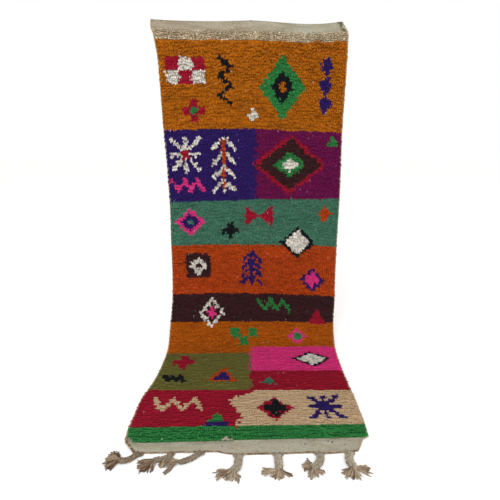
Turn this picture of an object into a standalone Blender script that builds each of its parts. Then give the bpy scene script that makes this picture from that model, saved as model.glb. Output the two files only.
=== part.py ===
"""Hand-knotted wool runner in the Azilal manner, hung by its top edge with its lower end out on the floor.

Metres, +Z up. Someone facing the pile looks along +Y and has +X on their right. The origin is the middle
of the top edge, on the back of the cloth. The cloth hangs straight, bends forward ever more tightly and
lies flat from there to its hem. Seven plaits of gathered warp ends lie on the floor along that hem.
"""

import math
import random
from collections import namedtuple

import bmesh
import bpy
from mathutils import Vector

# The cloth, measured along itself from the top edge
RUG_LENGTH = 2.487
STRAIGHT_DROP = 1.200
HANG_HEIGHT = 1.690
FLOOR = -HANG_HEIGHT

# Heights of the cloth's parts over its back
WEAVE_THICKNESS = 0.0045
RIDGE_THICKNESS = 0.0080
PILE_THICKNESS = 0.0145

# Where the parts end, along the cloth, and how long each step in height is
HEADING_END = 0.041
RIDGES_END = 0.085
PILE_END = 2.423
STEP_LENGTH = 0.004

# Bare edge beside the pile, and the slope from it up to the pile
SELVEDGE_WIDTH = 0.007
SELVEDGE_SLOPE = 0.004

# Place along the cloth, reach of each side from the centre line, how far the weft row has slipped down on
# the right against the left, and how far its middle stands above its ends
Station = namedtuple("Station", "along left right tilt bow")
STATIONS = (
    Station(0.000, 0.484, 0.486, 0.010, 0.000),
    Station(0.030, 0.486, 0.486, 0.010, 0.000),
    Station(0.060, 0.477, 0.484, 0.011, 0.000),
    Station(0.200, 0.460, 0.486, 0.011, 0.004),
    Station(0.500, 0.455, 0.485, 0.011, 0.012),
    Station(0.660, 0.449, 0.490, 0.000, 0.008),
    Station(0.880, 0.446, 0.496, -0.020, 0.003),
    Station(1.110, 0.452, 0.498, 0.003, 0.010),
    Station(1.440, 0.459, 0.503, 0.013, 0.012),
    Station(1.620, 0.467, 0.489, 0.000, 0.006),
    Station(1.830, 0.458, 0.476, -0.012, 0.002),
    Station(1.965, 0.461, 0.473, -0.006, 0.002),
    Station(2.108, 0.477, 0.476, 0.002, 0.002),
    Station(2.193, 0.496, 0.480, 0.000, 0.002),
    Station(2.353, 0.500, 0.478, -0.010, 0.002),
    Station(2.414, 0.488, 0.475, -0.026, 0.003),
    Station(2.434, 0.477, 0.444, -0.026, 0.002),
    Station(2.448, 0.466, 0.437, -0.018, 0.000),
    Station(2.487, 0.438, 0.415, 0.000, 0.000),
)

# How far the hem stands out past its straight line at places across it
Hem = namedtuple("Hem", "place extra")
HEM_EDGE = (
    Hem(-0.438, 0.002),
    Hem(-0.307, -0.006),
    Hem(-0.184, -0.011),
    Hem(-0.134, -0.009),
    Hem(-0.084, 0.002),
    Hem(-0.038, 0.007),
    Hem(0.100, 0.004),
    Hem(0.227, -0.001),
    Hem(0.292, 0.003),
    Hem(0.369, -0.007),
    Hem(0.415, -0.013),
)

# The top edge is held at both ends and in the middle, sags between, and swells forward off the wall there
RIGHT_PIN = 0.443
LEFT_PIN = -0.482
LEFT_SAG = 0.007
RIGHT_SAG = 0.015
SAG_SWELL = 0.6
SAG_FADE = 0.35

# The top right corner curls forward beyond a slanting line from the top edge to the side
CURL_TOP = Vector((0.434, 0.0, 0.0))
CURL_SIDE = Vector((0.485, 0.0, -0.072))
CURL_RADIUS = 0.009
CURL_ANGLE = math.radians(175)

# The lower left corner stands a little off the floor
LIFT_HEIGHT = 0.010
LIFT_ALONG = 2.425
LIFT_HALF_LENGTH = 0.060
LIFT_WIDTH = 0.070

# Mesh of the cloth: columns near the sides by their distance from the side, and even ones between, and
# the place along the cloth from which its rows stand closer
LEFT_COLUMNS = (0.0, SELVEDGE_WIDTH, SELVEDGE_WIDTH + SELVEDGE_SLOPE)
RIGHT_COLUMNS = (0.052, 0.042, 0.034, 0.026, 0.018, SELVEDGE_WIDTH + SELVEDGE_SLOPE, SELVEDGE_WIDTH, 0.0)
MIDDLE_COLUMNS = 12
WIDEST_ALONG = 2.353

# Shading turns sharp where two faces meet at more than this
SHARP_ANGLE = math.radians(40)

# Plaits: section, one full turn of the plaiting, its lobes as a share of the section and how far they
# slant round it, the height as a share of the width, and how square the section is at the root and beyond
PLAIT_SIDES = 14
RING_SPACING = 0.0052
PLAIT_TURN = 0.023
PLAIT_LOBE = 0.12
LOBE_SLANT = 2.0
PLAIT_FLATNESS = 0.60
ROOT_SQUARENESS = 2.60
PLAIT_SQUARENESS = 1.15

# The root is wider than the plait by this factor at the hem, and the neck narrower by this share
ROOT_SPREAD = 1.45
GATHER_LENGTH = 0.016
NECK_LENGTH = 0.016
NECK_NARROWING = 0.14

# Gap between a root and the hem, and how far to each side the hem is looked at for it
SEAT_GAP = 0.0003
SEAT_REACH = 0.0035

# Locks of the frayed ends. Each leaves the plait's end, lands on the floor at its foot and runs out to its
# tip. Widths there are shares of the lock's width, which fills no more than a share of its room
LOCK_WIDTH = 0.0044
LOCK_HEIGHT = 0.0038
LOCK_START = 0.006
LOCK_START_SHARE = 0.68
LOCK_FOOT_SHARE = 0.76
LOCK_TIP_SHARE = 0.95
LOCK_TIP_FLATTENING = 0.70
LOCK_CROWDING = 0.74
LANDING_SHARE = 0.70
LOCK_UNEVENNESS = 0.14

# Route on the floor from the hem out, as across and forward. The fan's heading and half spread are in
# degrees, from straight forward towards +X. Lock lengths are for the fan's -X end, middle and +X end
Plait = namedtuple("Plait", "width root route heading spread locks")
PLAITS = (
    Plait(0.021, -0.412, ((-0.430, 0.955), (-0.448, 0.970), (-0.467, 0.976), (-0.485, 0.974)),
          -95, 46, (0.070, 0.058, 0.050)),
    Plait(0.021, -0.299, ((-0.300, 0.958), (-0.318, 0.972), (-0.343, 0.976), (-0.362, 0.978)),
          -54, 44, (0.055, 0.052, 0.048)),
    Plait(0.021, -0.180, ((-0.197, 0.952), (-0.220, 0.971), (-0.243, 0.982), (-0.260, 0.989)),
          -50, 32, (0.048, 0.050, 0.044)),
    Plait(0.031, -0.044, ((-0.043, 0.972), (-0.045, 1.002), (-0.054, 1.018), (-0.065, 1.028)),
          -17, 58, (0.064, 0.036, 0.040)),
    Plait(0.031, 0.106, ((0.105, 0.972), (0.105, 1.003), (0.103, 1.026)),
          -18, 80, (0.054, 0.034, 0.038)),
    Plait(0.029, 0.264, ((0.263, 0.968), (0.254, 0.990), (0.239, 1.006), (0.226, 1.016)),
          -34, 72, (0.041, 0.042, 0.038)),
    Plait(0.031, 0.384, ((0.372, 0.957), (0.367, 0.981), (0.372, 1.003), (0.377, 1.018)),
          16, 80, (0.046, 0.041, 0.056)),
)


def follow(rows, by, column, at):
    """Smooth value of a table's column at a place, with no overshoot between its rows."""
    places = [getattr(row, by) for row in rows]
    values = [getattr(row, column) for row in rows]
    if at <= places[0]:
        return values[0]
    if at >= places[-1]:
        return values[-1]
    slopes = [
        (values[i + 1] - values[i]) / (places[i + 1] - places[i]) for i in range(len(rows) - 1)
    ]

    def tangent(i):
        if i == 0 or i == len(rows) - 1:
            return slopes[min(i, len(slopes) - 1)]
        before, after = slopes[i - 1], slopes[i]
        return 2 * before * after / (before + after) if before * after > 0 else 0.0

    i = max(k for k in range(len(slopes)) if places[k] <= at)
    span = places[i + 1] - places[i]
    t = (at - places[i]) / span
    return (
        values[i] * (1 + 2 * t) * (1 - t) ** 2
        + tangent(i) * span * t * (1 - t) ** 2
        + values[i + 1] * t * t * (3 - 2 * t)
        - tangent(i + 1) * span * t * t * (1 - t)
    )


def ease(t):
    """0 up to t = 0, 1 from t = 1, smooth between."""
    t = min(max(t, 0.0), 1.0)
    return t * t * (3 - 2 * t)


def bend_share(t, pieces=64):
    """Forward and downward reach of a bend up to t. The bend is 1 long and its turn grows as t squared."""
    forward = down = 0.0
    for k in range(pieces):
        turn = math.pi / 2 * ((k + 0.5) * t / pieces) ** 2
        forward += math.sin(turn) * t / pieces
        down += math.cos(turn) * t / pieces
    return forward, down


BEND_LENGTH = (HANG_HEIGHT - STRAIGHT_DROP) / bend_share(1)[1]
FLOOR_START = STRAIGHT_DROP + BEND_LENGTH
FLOOR_REACH = BEND_LENGTH * bend_share(1)[0]


def profile(along):
    """Forward reach, drop and turn from upright of the cloth's back at a distance along it."""
    if along <= STRAIGHT_DROP:
        return 0.0, along, 0.0
    if along >= FLOOR_START:
        return FLOOR_REACH + along - FLOOR_START, HANG_HEIGHT, math.pi / 2
    t = (along - STRAIGHT_DROP) / BEND_LENGTH
    forward, down = bend_share(t)
    return BEND_LENGTH * forward, STRAIGHT_DROP + BEND_LENGTH * down, math.pi / 2 * t * t


def sag(x, along):
    """How far a place near the top hangs below the line through the pins."""
    if x < 0:
        t, depth = x / LEFT_PIN, LEFT_SAG
    else:
        t, depth = x / RIGHT_PIN, RIGHT_SAG
    return 4 * depth * max(t * (1 - t), 0.0) * math.exp(-along / SAG_FADE)


def curled(point):
    """The back of the curled corner at a flat point of it, and the way its front faces."""
    line = (CURL_SIDE - CURL_TOP).normalized()
    outward = Vector((-line.z, 0, line.x))
    beyond = (point - CURL_TOP).dot(outward)
    front = Vector((0, -1, 0))
    if beyond <= 0:
        return point, front
    turn = min(beyond / CURL_RADIUS, CURL_ANGLE)
    flap = beyond - turn * CURL_RADIUS
    sideways = CURL_RADIUS * math.sin(turn) + flap * math.cos(turn)
    lift = CURL_RADIUS * (1 - math.cos(turn)) + flap * math.sin(turn)
    place = point + outward * (sideways - beyond) + front * lift
    return place, front * math.cos(turn) - outward * math.sin(turn)


def back_of_cloth(x, along):
    """A point of the cloth's back, and the direction in which the pile stands there."""
    left = follow(STATIONS, "along", "left", along)
    right = follow(STATIONS, "along", "right", along)
    across = x / (left if x < 0 else right)
    hanging = sag(x, along)
    hem_share = ease((along - PILE_END) / (RUG_LENGTH - PILE_END))
    slipped = (
        along
        + follow(STATIONS, "along", "tilt", along) * across / 2
        - follow(STATIONS, "along", "bow", along) * (1 - across * across)
        + hanging
        + hem_share * follow(HEM_EDGE, "place", "extra", x)
    )
    forward, drop, turn = profile(slipped)
    if along < RIDGES_END:
        place, front = curled(Vector((x, -forward, -drop)))
    else:
        place = Vector((x, -forward, -drop))
        front = Vector((0, -math.cos(turn), math.sin(turn)))
    lifted = ease(1 - abs(along - LIFT_ALONG) / LIFT_HALF_LENGTH) * ease(1 - (x + left) / LIFT_WIDTH)
    return place + front * (hanging * SAG_SWELL + LIFT_HEIGHT * lifted), front


def cloth_height(from_side, along):
    """Height of the front over the back, at a distance from the nearer side."""
    steps = (
        (HEADING_END, WEAVE_THICKNESS, RIDGE_THICKNESS),
        (RIDGES_END, RIDGE_THICKNESS, PILE_THICKNESS),
        (PILE_END, PILE_THICKNESS, WEAVE_THICKNESS),
    )
    height = WEAVE_THICKNESS
    for start, before, after in steps:
        if along >= start:
            height = before + (after - before) * min((along - start) / STEP_LENGTH, 1)
    share = min(max((from_side - SELVEDGE_WIDTH) / SELVEDGE_SLOPE, 0), 1)
    return WEAVE_THICKNESS + (height - WEAVE_THICKNESS) * share


def row_places():
    """Places along the cloth of the mesh's rows."""
    spans = (
        (0.0, HEADING_END, 5),
        (HEADING_END, HEADING_END + STEP_LENGTH, 1),
        (HEADING_END + STEP_LENGTH, RIDGES_END, 4),
        (RIDGES_END, RIDGES_END + STEP_LENGTH, 1),
        (RIDGES_END + STEP_LENGTH, STRAIGHT_DROP, 12),
        (STRAIGHT_DROP, FLOOR_START, 15),
        (FLOOR_START, WIDEST_ALONG, 8),
        (WIDEST_ALONG, PILE_END, 3),
        (PILE_END, PILE_END + STEP_LENGTH, 1),
        (PILE_END + STEP_LENGTH, RUG_LENGTH, 4),
    )
    return [
        start + (end - start) * k / count for start, end, count in spans for k in range(count)
    ] + [RUG_LENGTH]


def column_places(along):
    """Places across the cloth of the mesh's columns, each with its distance from the nearer side."""
    left = follow(STATIONS, "along", "left", along)
    right = follow(STATIONS, "along", "right", along)
    first = [(-left + inset, inset) for inset in LEFT_COLUMNS]
    last = [(right - inset, inset) for inset in RIGHT_COLUMNS]
    gap = (last[0][0] - first[-1][0]) / (MIDDLE_COLUMNS + 1)
    middle = [(first[-1][0] + gap * (k + 1), gap) for k in range(MIDDLE_COLUMNS)]
    return first + middle + last


def make_material(name, colour, roughness):
    material = bpy.data.materials.new(name)
    material.use_nodes = True
    shader = material.node_tree.nodes["Principled BSDF"]
    shader.inputs["Base Color"].default_value = (*colour, 1)
    shader.inputs["Roughness"].default_value = roughness
    shader.inputs["Metallic"].default_value = 0
    return material


def add_object(name, bm, material):
    bmesh.ops.recalc_face_normals(bm, faces=bm.faces[:])
    mesh = bpy.data.meshes.new(name)
    bm.to_mesh(mesh)
    bm.free()
    mesh.materials.append(material)
    mesh.shade_smooth()
    mesh.set_sharp_from_angle(angle=SHARP_ANGLE)
    part = bpy.data.objects.new(name, mesh)
    bpy.context.scene.collection.objects.link(part)
    return part


def make_rug(material):
    """The knotted cloth: a grid laid on the back, then extruded to the front's heights."""
    rows = row_places()
    last_row = len(rows) - 1
    last_column = len(column_places(0)) - 1
    bm = bmesh.new()
    bmesh.ops.create_grid(bm, x_segments=last_column, y_segments=last_row, size=1)
    row_of = bm.verts.layers.int.new("row")
    column_of = bm.verts.layers.int.new("column")
    for vert in bm.verts:
        vert[column_of] = round((vert.co.x + 1) / 2 * last_column)
        vert[row_of] = round((1 - vert.co.y) / 2 * last_row)
    extruded = bmesh.ops.extrude_face_region(bm, geom=bm.faces[:])["geom"]
    front_verts = {item for item in extruded if isinstance(item, bmesh.types.BMVert)}
    columns = [column_places(along) for along in rows]
    for vert in bm.verts:
        along = rows[vert[row_of]]
        x, from_side = columns[vert[row_of]][vert[column_of]]
        place, front = back_of_cloth(x, along)
        height = cloth_height(from_side, along) if vert in front_verts else 0.0
        vert.co = place + front * height
    return add_object("rug", bm, material)


def hem_line(x):
    """Forward reach of the hem at a place across, straight between the mesh's columns."""
    corners = [back_of_cloth(place, RUG_LENGTH)[0] for place, _ in column_places(RUG_LENGTH)]
    for before, after in zip(corners, corners[1:]):
        if before.x <= x <= after.x:
            return before.y + (after.y - before.y) * (x - before.x) / (after.x - before.x)
    return corners[0].y if x < 0 else corners[-1].y


def seat_line(x):
    """Where a plait's root stands: a little off the hem, also where the hem bulges between two points."""
    return min(hem_line(x + reach) for reach in (-SEAT_REACH, 0, SEAT_REACH)) - SEAT_GAP


def heading_vector(degrees):
    """Level direction, in degrees from straight forward towards +X."""
    turn = math.radians(degrees)
    return Vector((math.sin(turn), -math.cos(turn), 0))


def route_rings(plait):
    """Centres, directions and distances of the plait's sections, evenly spaced from the hem out."""
    corners = [Vector((plait.root, hem_line(plait.root) - SEAT_GAP, FLOOR))]
    corners += [Vector((x, -forward, FLOOR)) for x, forward in plait.route]
    Corner = namedtuple("Corner", "distance x y")
    travelled = 0.0
    table = []
    for k, corner in enumerate(corners):
        travelled += (corner - corners[k - 1]).length if k else 0.0
        table.append(Corner(travelled, corner.x, corner.y))
    count = round(travelled / RING_SPACING)
    distances = [travelled * k / count for k in range(count + 1)]
    centres = [
        Vector((follow(table, "distance", "x", d), follow(table, "distance", "y", d), FLOOR))
        for d in distances
    ]
    directions = [
        (centres[min(k + 1, count)] - centres[max(k - 1, 0)]).normalized() for k in range(count + 1)
    ]
    return list(zip(centres, directions, distances))


def plait_section(plait, centre, direction, distance, total):
    """One ring: a flat strip at the hem, then a rounded plait with alternate slanting lobes."""
    gathered = ease(distance / GATHER_LENGTH)
    side = Vector((0, 0, 1)).cross(heading_vector(0).lerp(direction, gathered).normalized())
    neck = 1 - NECK_NARROWING * ease(1 - (total - distance) / NECK_LENGTH)
    width = plait.width * (ROOT_SPREAD + (1 - ROOT_SPREAD) * gathered) * neck
    height = WEAVE_THICKNESS + (plait.width * PLAIT_FLATNESS - WEAVE_THICKNESS) * gathered
    squareness = ROOT_SQUARENESS + (PLAIT_SQUARENESS - ROOT_SQUARENESS) * gathered
    phase = math.tau * distance / PLAIT_TURN
    ring = []
    for k in range(PLAIT_SIDES):
        angle = math.tau * k / PLAIT_SIDES
        reach = math.cos(angle)
        level = 0.5 + 0.5 * min(max(squareness * math.sin(angle), -1), 1)
        opposite = math.pi if reach < 0 else 0
        lobe = PLAIT_LOBE * gathered * math.cos(phase + LOBE_SLANT * abs(reach) + opposite)
        raised = 1 + lobe if level > 0.5 else 1
        ring.append(
            centre + side * (width / 2 * reach * (1 + lobe / 2)) + Vector((0, 0, height * level * raised))
        )
    for point in ring:
        if distance == 0:
            point.y = seat_line(point.x)
        elif distance < GATHER_LENGTH:
            point.y = min(point.y, seat_line(point.x) - distance / 2)
    return ring


def place_ring(face, ring, side_of):
    for vert in face.verts:
        vert.co = ring[vert[side_of]]


def end_strips(bm, cap, side_of):
    """Divides the plait's end into upright strips, each halved: a row of faces below and one above."""
    verts = {vert[side_of]: vert for vert in cap.verts}
    half = PLAIT_SIDES // 2
    bmesh.ops.delete(bm, geom=[cap], context="FACES_ONLY")
    middle = {0: verts[0], half: verts[half]}
    for k in range(2, half - 1):
        middle[k] = bm.verts.new((verts[k].co + verts[PLAIT_SIDES - k].co) / 2)
        middle[k].co.z = verts[0].co.z
    upper = [bm.faces.new((verts[0], verts[1], verts[2], middle[2]))]
    lower = [bm.faces.new((middle[2], verts[PLAIT_SIDES - 2], verts[PLAIT_SIDES - 1], verts[0]))]
    for k in range(2, half - 2):
        upper.append(bm.faces.new((middle[k], verts[k], verts[k + 1], middle[k + 1])))
        lower.append(
            bm.faces.new((middle[k + 1], verts[PLAIT_SIDES - k - 1], verts[PLAIT_SIDES - k], middle[k]))
        )
    k = half - 2
    upper.append(bm.faces.new((middle[k], verts[k], verts[k + 1], verts[half])))
    lower.append(bm.faces.new((verts[half], verts[half + 1], verts[half + 2], middle[k])))
    return lower[::-1], upper[::-1]


def grow_lock(bm, face, side, stops):
    """Extrudes one strip of the plait's end through its stops: foot, direction, width and height."""
    for foot, direction, width, height in stops:
        centre = face.calc_center_median()
        right = [(vert.co - centre).dot(side) > 0 for vert in face.verts]
        above = [vert.co.z > centre.z for vert in face.verts]
        face = bmesh.ops.extrude_discrete_faces(bm, faces=[face])["faces"][0]
        side = Vector((0, 0, 1)).cross(direction)
        for vert, is_right, is_above in zip(face.verts, right, above):
            vert.co = foot + side * (width / 2 if is_right else -width / 2)
            vert.co.z += height if is_above else 0.0


def make_plait(number, plait, material):
    """One gathered bunch of warp ends: its flat root against the hem, the plait and its frayed locks."""
    rings = route_rings(plait)
    total = rings[-1][2]
    bm = bmesh.new()
    bmesh.ops.create_circle(bm, cap_ends=True, segments=PLAIT_SIDES, radius=1)
    side_of = bm.verts.layers.int.new("side")
    for vert in bm.verts:
        angle = math.atan2(-vert.co.x, vert.co.y)
        vert[side_of] = round(angle / math.tau * PLAIT_SIDES) % PLAIT_SIDES
    bm.faces.ensure_lookup_table()
    cap = bm.faces[0]
    for k, (centre, direction, distance) in enumerate(rings):
        if k == 1:
            extruded = bmesh.ops.extrude_face_region(bm, geom=[cap])["geom"]
            cap = next(item for item in extruded if isinstance(item, bmesh.types.BMFace))
        elif k > 1:
            cap = bmesh.ops.extrude_discrete_faces(bm, faces=[cap])["faces"][0]
        place_ring(cap, plait_section(plait, centre, direction, distance, total), side_of)

    end, direction, _ = rings[-1]
    side = Vector((0, 0, 1)).cross(direction)
    lower, upper = end_strips(bm, cap, side_of)
    count = len(lower) + len(upper)
    uneven = random.Random(number)
    angle_step = math.radians(2 * plait.spread / (count - 1))
    landing = min(LOCK_WIDTH / (LOCK_CROWDING * angle_step), LANDING_SHARE * min(plait.locks))
    width = min(LOCK_WIDTH, LOCK_CROWDING * angle_step * landing)
    for k in range(count):
        share = k / (count - 1)
        face = (upper if k % 2 else lower)[k // 2]
        outward = heading_vector(plait.heading + plait.spread * (2 * share - 1))
        first, middle, last = plait.locks
        length = middle + abs(2 * share - 1) ** 2 * ((first if share < 0.5 else last) - middle)
        length *= 1 - LOCK_UNEVENNESS * uneven.random()
        root = face.calc_center_median()
        start = Vector((root.x, root.y, FLOOR)) + direction * LOCK_START + outward * LOCK_START
        if k % 2:
            start.z += 2 * LOCK_HEIGHT
        foot = end + direction * LOCK_START / 2 + outward * landing
        tip = end + direction * LOCK_START / 2 + outward * length
        stops = (
            (start, outward, width * LOCK_START_SHARE, LOCK_HEIGHT),
            (foot, outward, width * LOCK_FOOT_SHARE, LOCK_HEIGHT),
            (tip, outward, width * LOCK_TIP_SHARE, LOCK_HEIGHT * LOCK_TIP_FLATTENING),
        )
        grow_lock(bm, face, side, stops)
    return add_object(f"plait_{number}", bm, material)


def clear_scene():
    for old in list(bpy.data.objects):
        bpy.data.objects.remove(old, do_unlink=True)


def main():
    clear_scene()
    pile = make_material("Dyed wool pile", (0.42, 0.16, 0.03), 0.95)
    yarn = make_material("Undyed warp yarn", (0.42, 0.35, 0.27), 0.9)
    make_rug(pile)
    for number, plait in enumerate(PLAITS, start=1):
        make_plait(number, plait, yarn)


main()
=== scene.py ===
"""Looks of the azilal runner: woven ground, dyed pile, undyed heading rows, selvedges and plaited warp ends.

Metres, +Z up. The pile faces -Y, and the origin is the middle of the top edge, on the back of the cloth.
"""

import math
from collections import namedtuple
from functools import partial

import bmesh
import bpy
import numpy as np
from mathutils import Matrix, Vector


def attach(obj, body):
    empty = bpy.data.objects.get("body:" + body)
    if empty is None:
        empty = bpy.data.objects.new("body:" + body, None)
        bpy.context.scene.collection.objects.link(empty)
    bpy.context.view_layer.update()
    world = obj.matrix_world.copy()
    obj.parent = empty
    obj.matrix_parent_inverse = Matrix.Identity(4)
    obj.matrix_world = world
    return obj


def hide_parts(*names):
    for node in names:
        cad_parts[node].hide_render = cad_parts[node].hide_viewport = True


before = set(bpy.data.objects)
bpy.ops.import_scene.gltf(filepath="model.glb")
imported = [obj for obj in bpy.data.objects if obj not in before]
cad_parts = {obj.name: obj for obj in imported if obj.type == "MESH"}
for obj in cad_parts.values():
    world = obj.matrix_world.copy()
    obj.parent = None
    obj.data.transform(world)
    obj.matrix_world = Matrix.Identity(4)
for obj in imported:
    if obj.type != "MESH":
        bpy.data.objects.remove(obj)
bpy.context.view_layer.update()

# The cloth, measured along itself from the top edge
RUG_LENGTH = 2.487
RUG_WIDTH = 0.95
STRAIGHT_DROP = 1.200
HANG_HEIGHT = 1.690
FLOOR = -HANG_HEIGHT

# Heights of the ground over its back
WEAVE_THICKNESS = 0.0045
RIDGE_GROUND = 0.0055
PILE_GROUND = 0.0070

# Where the parts end, along the cloth, and how long each step in height is
HEADING_END = 0.041
RIDGES_END = 0.085
PILE_END = 2.437
STEP_LENGTH = 0.004
SELVEDGE_WIDTH = 0.007

# Knots of the pile, the rows of the heading's undyed loops, and the colour of the painted shade on the
# ground in the gaps between those rows
KNOT_ROWS = 187
KNOT_COLUMNS = 98
ROW_PITCH = (PILE_END - RIDGES_END) / KNOT_ROWS
EDGE_INSET = 0.005
LOOP_ROWS = 6
LOOP_COLUMNS = 122
LOOP_COLOUR = (170, 154, 126)
LOOP_GAP_SHADE_COLOUR = (116, 97, 75)
TUFT_COLOUR = (214, 203, 178)

# Place along the cloth, reach of each side from the centre line, how far the weft row has slipped down on
# the right against the left, and how far its middle stands above its ends
Station = namedtuple("Station", "along left right tilt bow")
STATIONS = (
    Station(0.000, 0.484, 0.486, 0.010, 0.000),
    Station(0.030, 0.486, 0.486, 0.010, 0.000),
    Station(0.060, 0.477, 0.484, 0.011, 0.000),
    Station(0.200, 0.460, 0.486, 0.011, 0.004),
    Station(0.500, 0.455, 0.485, 0.011, 0.012),
    Station(0.660, 0.449, 0.490, 0.000, 0.008),
    Station(0.880, 0.446, 0.496, -0.020, 0.003),
    Station(1.110, 0.452, 0.498, 0.003, 0.010),
    Station(1.440, 0.459, 0.503, 0.013, 0.012),
    Station(1.620, 0.467, 0.489, 0.000, 0.006),
    Station(1.830, 0.458, 0.476, -0.012, 0.002),
    Station(1.965, 0.461, 0.473, -0.006, 0.002),
    Station(2.108, 0.477, 0.476, 0.002, 0.002),
    Station(2.193, 0.496, 0.480, 0.000, 0.002),
    Station(2.363, 0.500, 0.478, -0.020, 0.002),
    Station(2.426, 0.488, 0.475, -0.032, 0.003),
    Station(2.441, 0.481, 0.451, -0.032, 0.002),
    Station(2.448, 0.476, 0.443, -0.025, 0.002),
    Station(2.458, 0.466, 0.437, -0.018, 0.000),
    Station(2.487, 0.438, 0.415, 0.000, 0.000),
)

# How far the hem stands out past its straight line at places across it
Hem = namedtuple("Hem", "place extra")
HEM_EDGE = (
    Hem(-0.438, 0.010),
    Hem(-0.307, 0.006),
    Hem(-0.184, 0.003),
    Hem(-0.134, 0.002),
    Hem(-0.084, 0.011),
    Hem(-0.038, 0.015),
    Hem(0.100, 0.012),
    Hem(0.227, 0.007),
    Hem(0.292, 0.011),
    Hem(0.369, 0.002),
    Hem(0.415, -0.002),
)

# The top edge sags between its pins, and swells forward there
RIGHT_PIN = 0.443
LEFT_PIN = -0.482
LEFT_SAG = 0.007
RIGHT_SAG = 0.015
RIGHT_SAG_LEAN = 1.6
SAG_SWELL = 0.6
SAG_FADE = 0.35

# The top right corner curls forward beyond a slanting line from the top edge to the side
CURL_TOP = np.array((0.434, 0.0, 0.0))
CURL_SIDE = np.array((0.485, 0.0, -0.072))
CURL_LINE = (CURL_SIDE - CURL_TOP) / np.linalg.norm(CURL_SIDE - CURL_TOP)
CURL_OUTWARD = np.array((-CURL_LINE[2], 0, CURL_LINE[0]))
CURL_RADIUS = 0.009
CURL_ANGLE = math.radians(175)

# Beside the last pile rows the weave is bare on the left, up to so far in from the side
BARE_START = 2.392
BARE_WIDTH = 0.030

# On the right the last pile rows stay as wide as the cloth is here
SQUARE_END = 2.424

# The lower left corner stands a little off the floor
LIFT_HEIGHT = 0.010
LIFT_ALONG = 2.437
LIFT_HALF_LENGTH = 0.060
LIFT_WIDTH = 0.070

# Yarns: colour as seen, from 0 to 255, and how strongly darker lengths of yarn streak it
Yarn = namedtuple("Yarn", "red green blue streak")
YARNS = {
    "ochre": Yarn(185, 104, 6, 0.52),
    "deep ochre": Yarn(185, 92, 2, 0.36),
    "indigo": Yarn(46, 26, 99, 0.20),
    "magenta": Yarn(109, 13, 74, 0.16),
    "teal": Yarn(73, 126, 102, 0.42),
    "orange": Yarn(191, 73, 16, 0.46),
    "brown": Yarn(62, 31, 34, 0.40),
    "olive": Yarn(112, 108, 51, 0.12),
    "pink": Yarn(220, 55, 130, 0.06),
    "crimson": Yarn(163, 19, 46, 0.18),
    "tan": Yarn(202, 175, 140, 0.06),
    "green": Yarn(49, 133, 67, 0.36),
    "cream": Yarn(229, 223, 212, 0.46),
    "black": Yarn(17, 21, 27, 0.10),
    "weft": Yarn(154, 146, 127, 0.10),
}
YARN_NAMES = tuple(YARNS)

# How a dye streaks: the share of the knots that stay plain, and how strongly darker lengths of yarn, single
# knots, patches and rows of one dye bath stand out
PLAIN_SHARE = 0.6
LENGTH_STREAK = 1.2
KNOT_STREAK = 0.14
PATCH_STREAK = 0.05
BATH_STREAK = 0.05
LIGHTEST_TONE = 1.15

# Blocks of the field. Side is which part of the width they fill, up to where two blocks meet
Block = namedtuple("Block", "yarn side start end")
BLOCKS = (
    Block("ochre", "both", 0.085, 0.510),
    Block("indigo", "left", 0.510, 0.874),
    Block("magenta", "right", 0.510, 0.874),
    Block("teal", "both", 0.874, 1.137),
    Block("orange", "both", 1.137, 1.448),
    Block("brown", "both", 1.448, 1.611),
    Block("deep ochre", "left", 1.611, 1.819),
    Block("deep ochre", "right", 1.611, 1.775),
    Block("olive", "left", 1.819, 2.136),
    Block("pink", "right", 1.775, 1.990),
    Block("crimson", "right", 1.990, 2.138),
    Block("crimson", "left", 2.136, 2.363),
    Block("tan", "right", 2.138, 2.363),
    Block("green", "both", 2.363, 2.437),
)

# Where the left and right blocks meet, across, at places along the cloth
Meeting = namedtuple("Meeting", "along across")
MEETINGS = (
    Meeting(0.510, 0.033),
    Meeting(0.874, 0.033),
    Meeting(1.602, 0.003),
    Meeting(2.130, 0.003),
    Meeting(2.138, 0.020),
    Meeting(2.205, -0.093),
    Meeting(2.304, -0.043),
    Meeting(2.363, -0.063),
)

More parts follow.
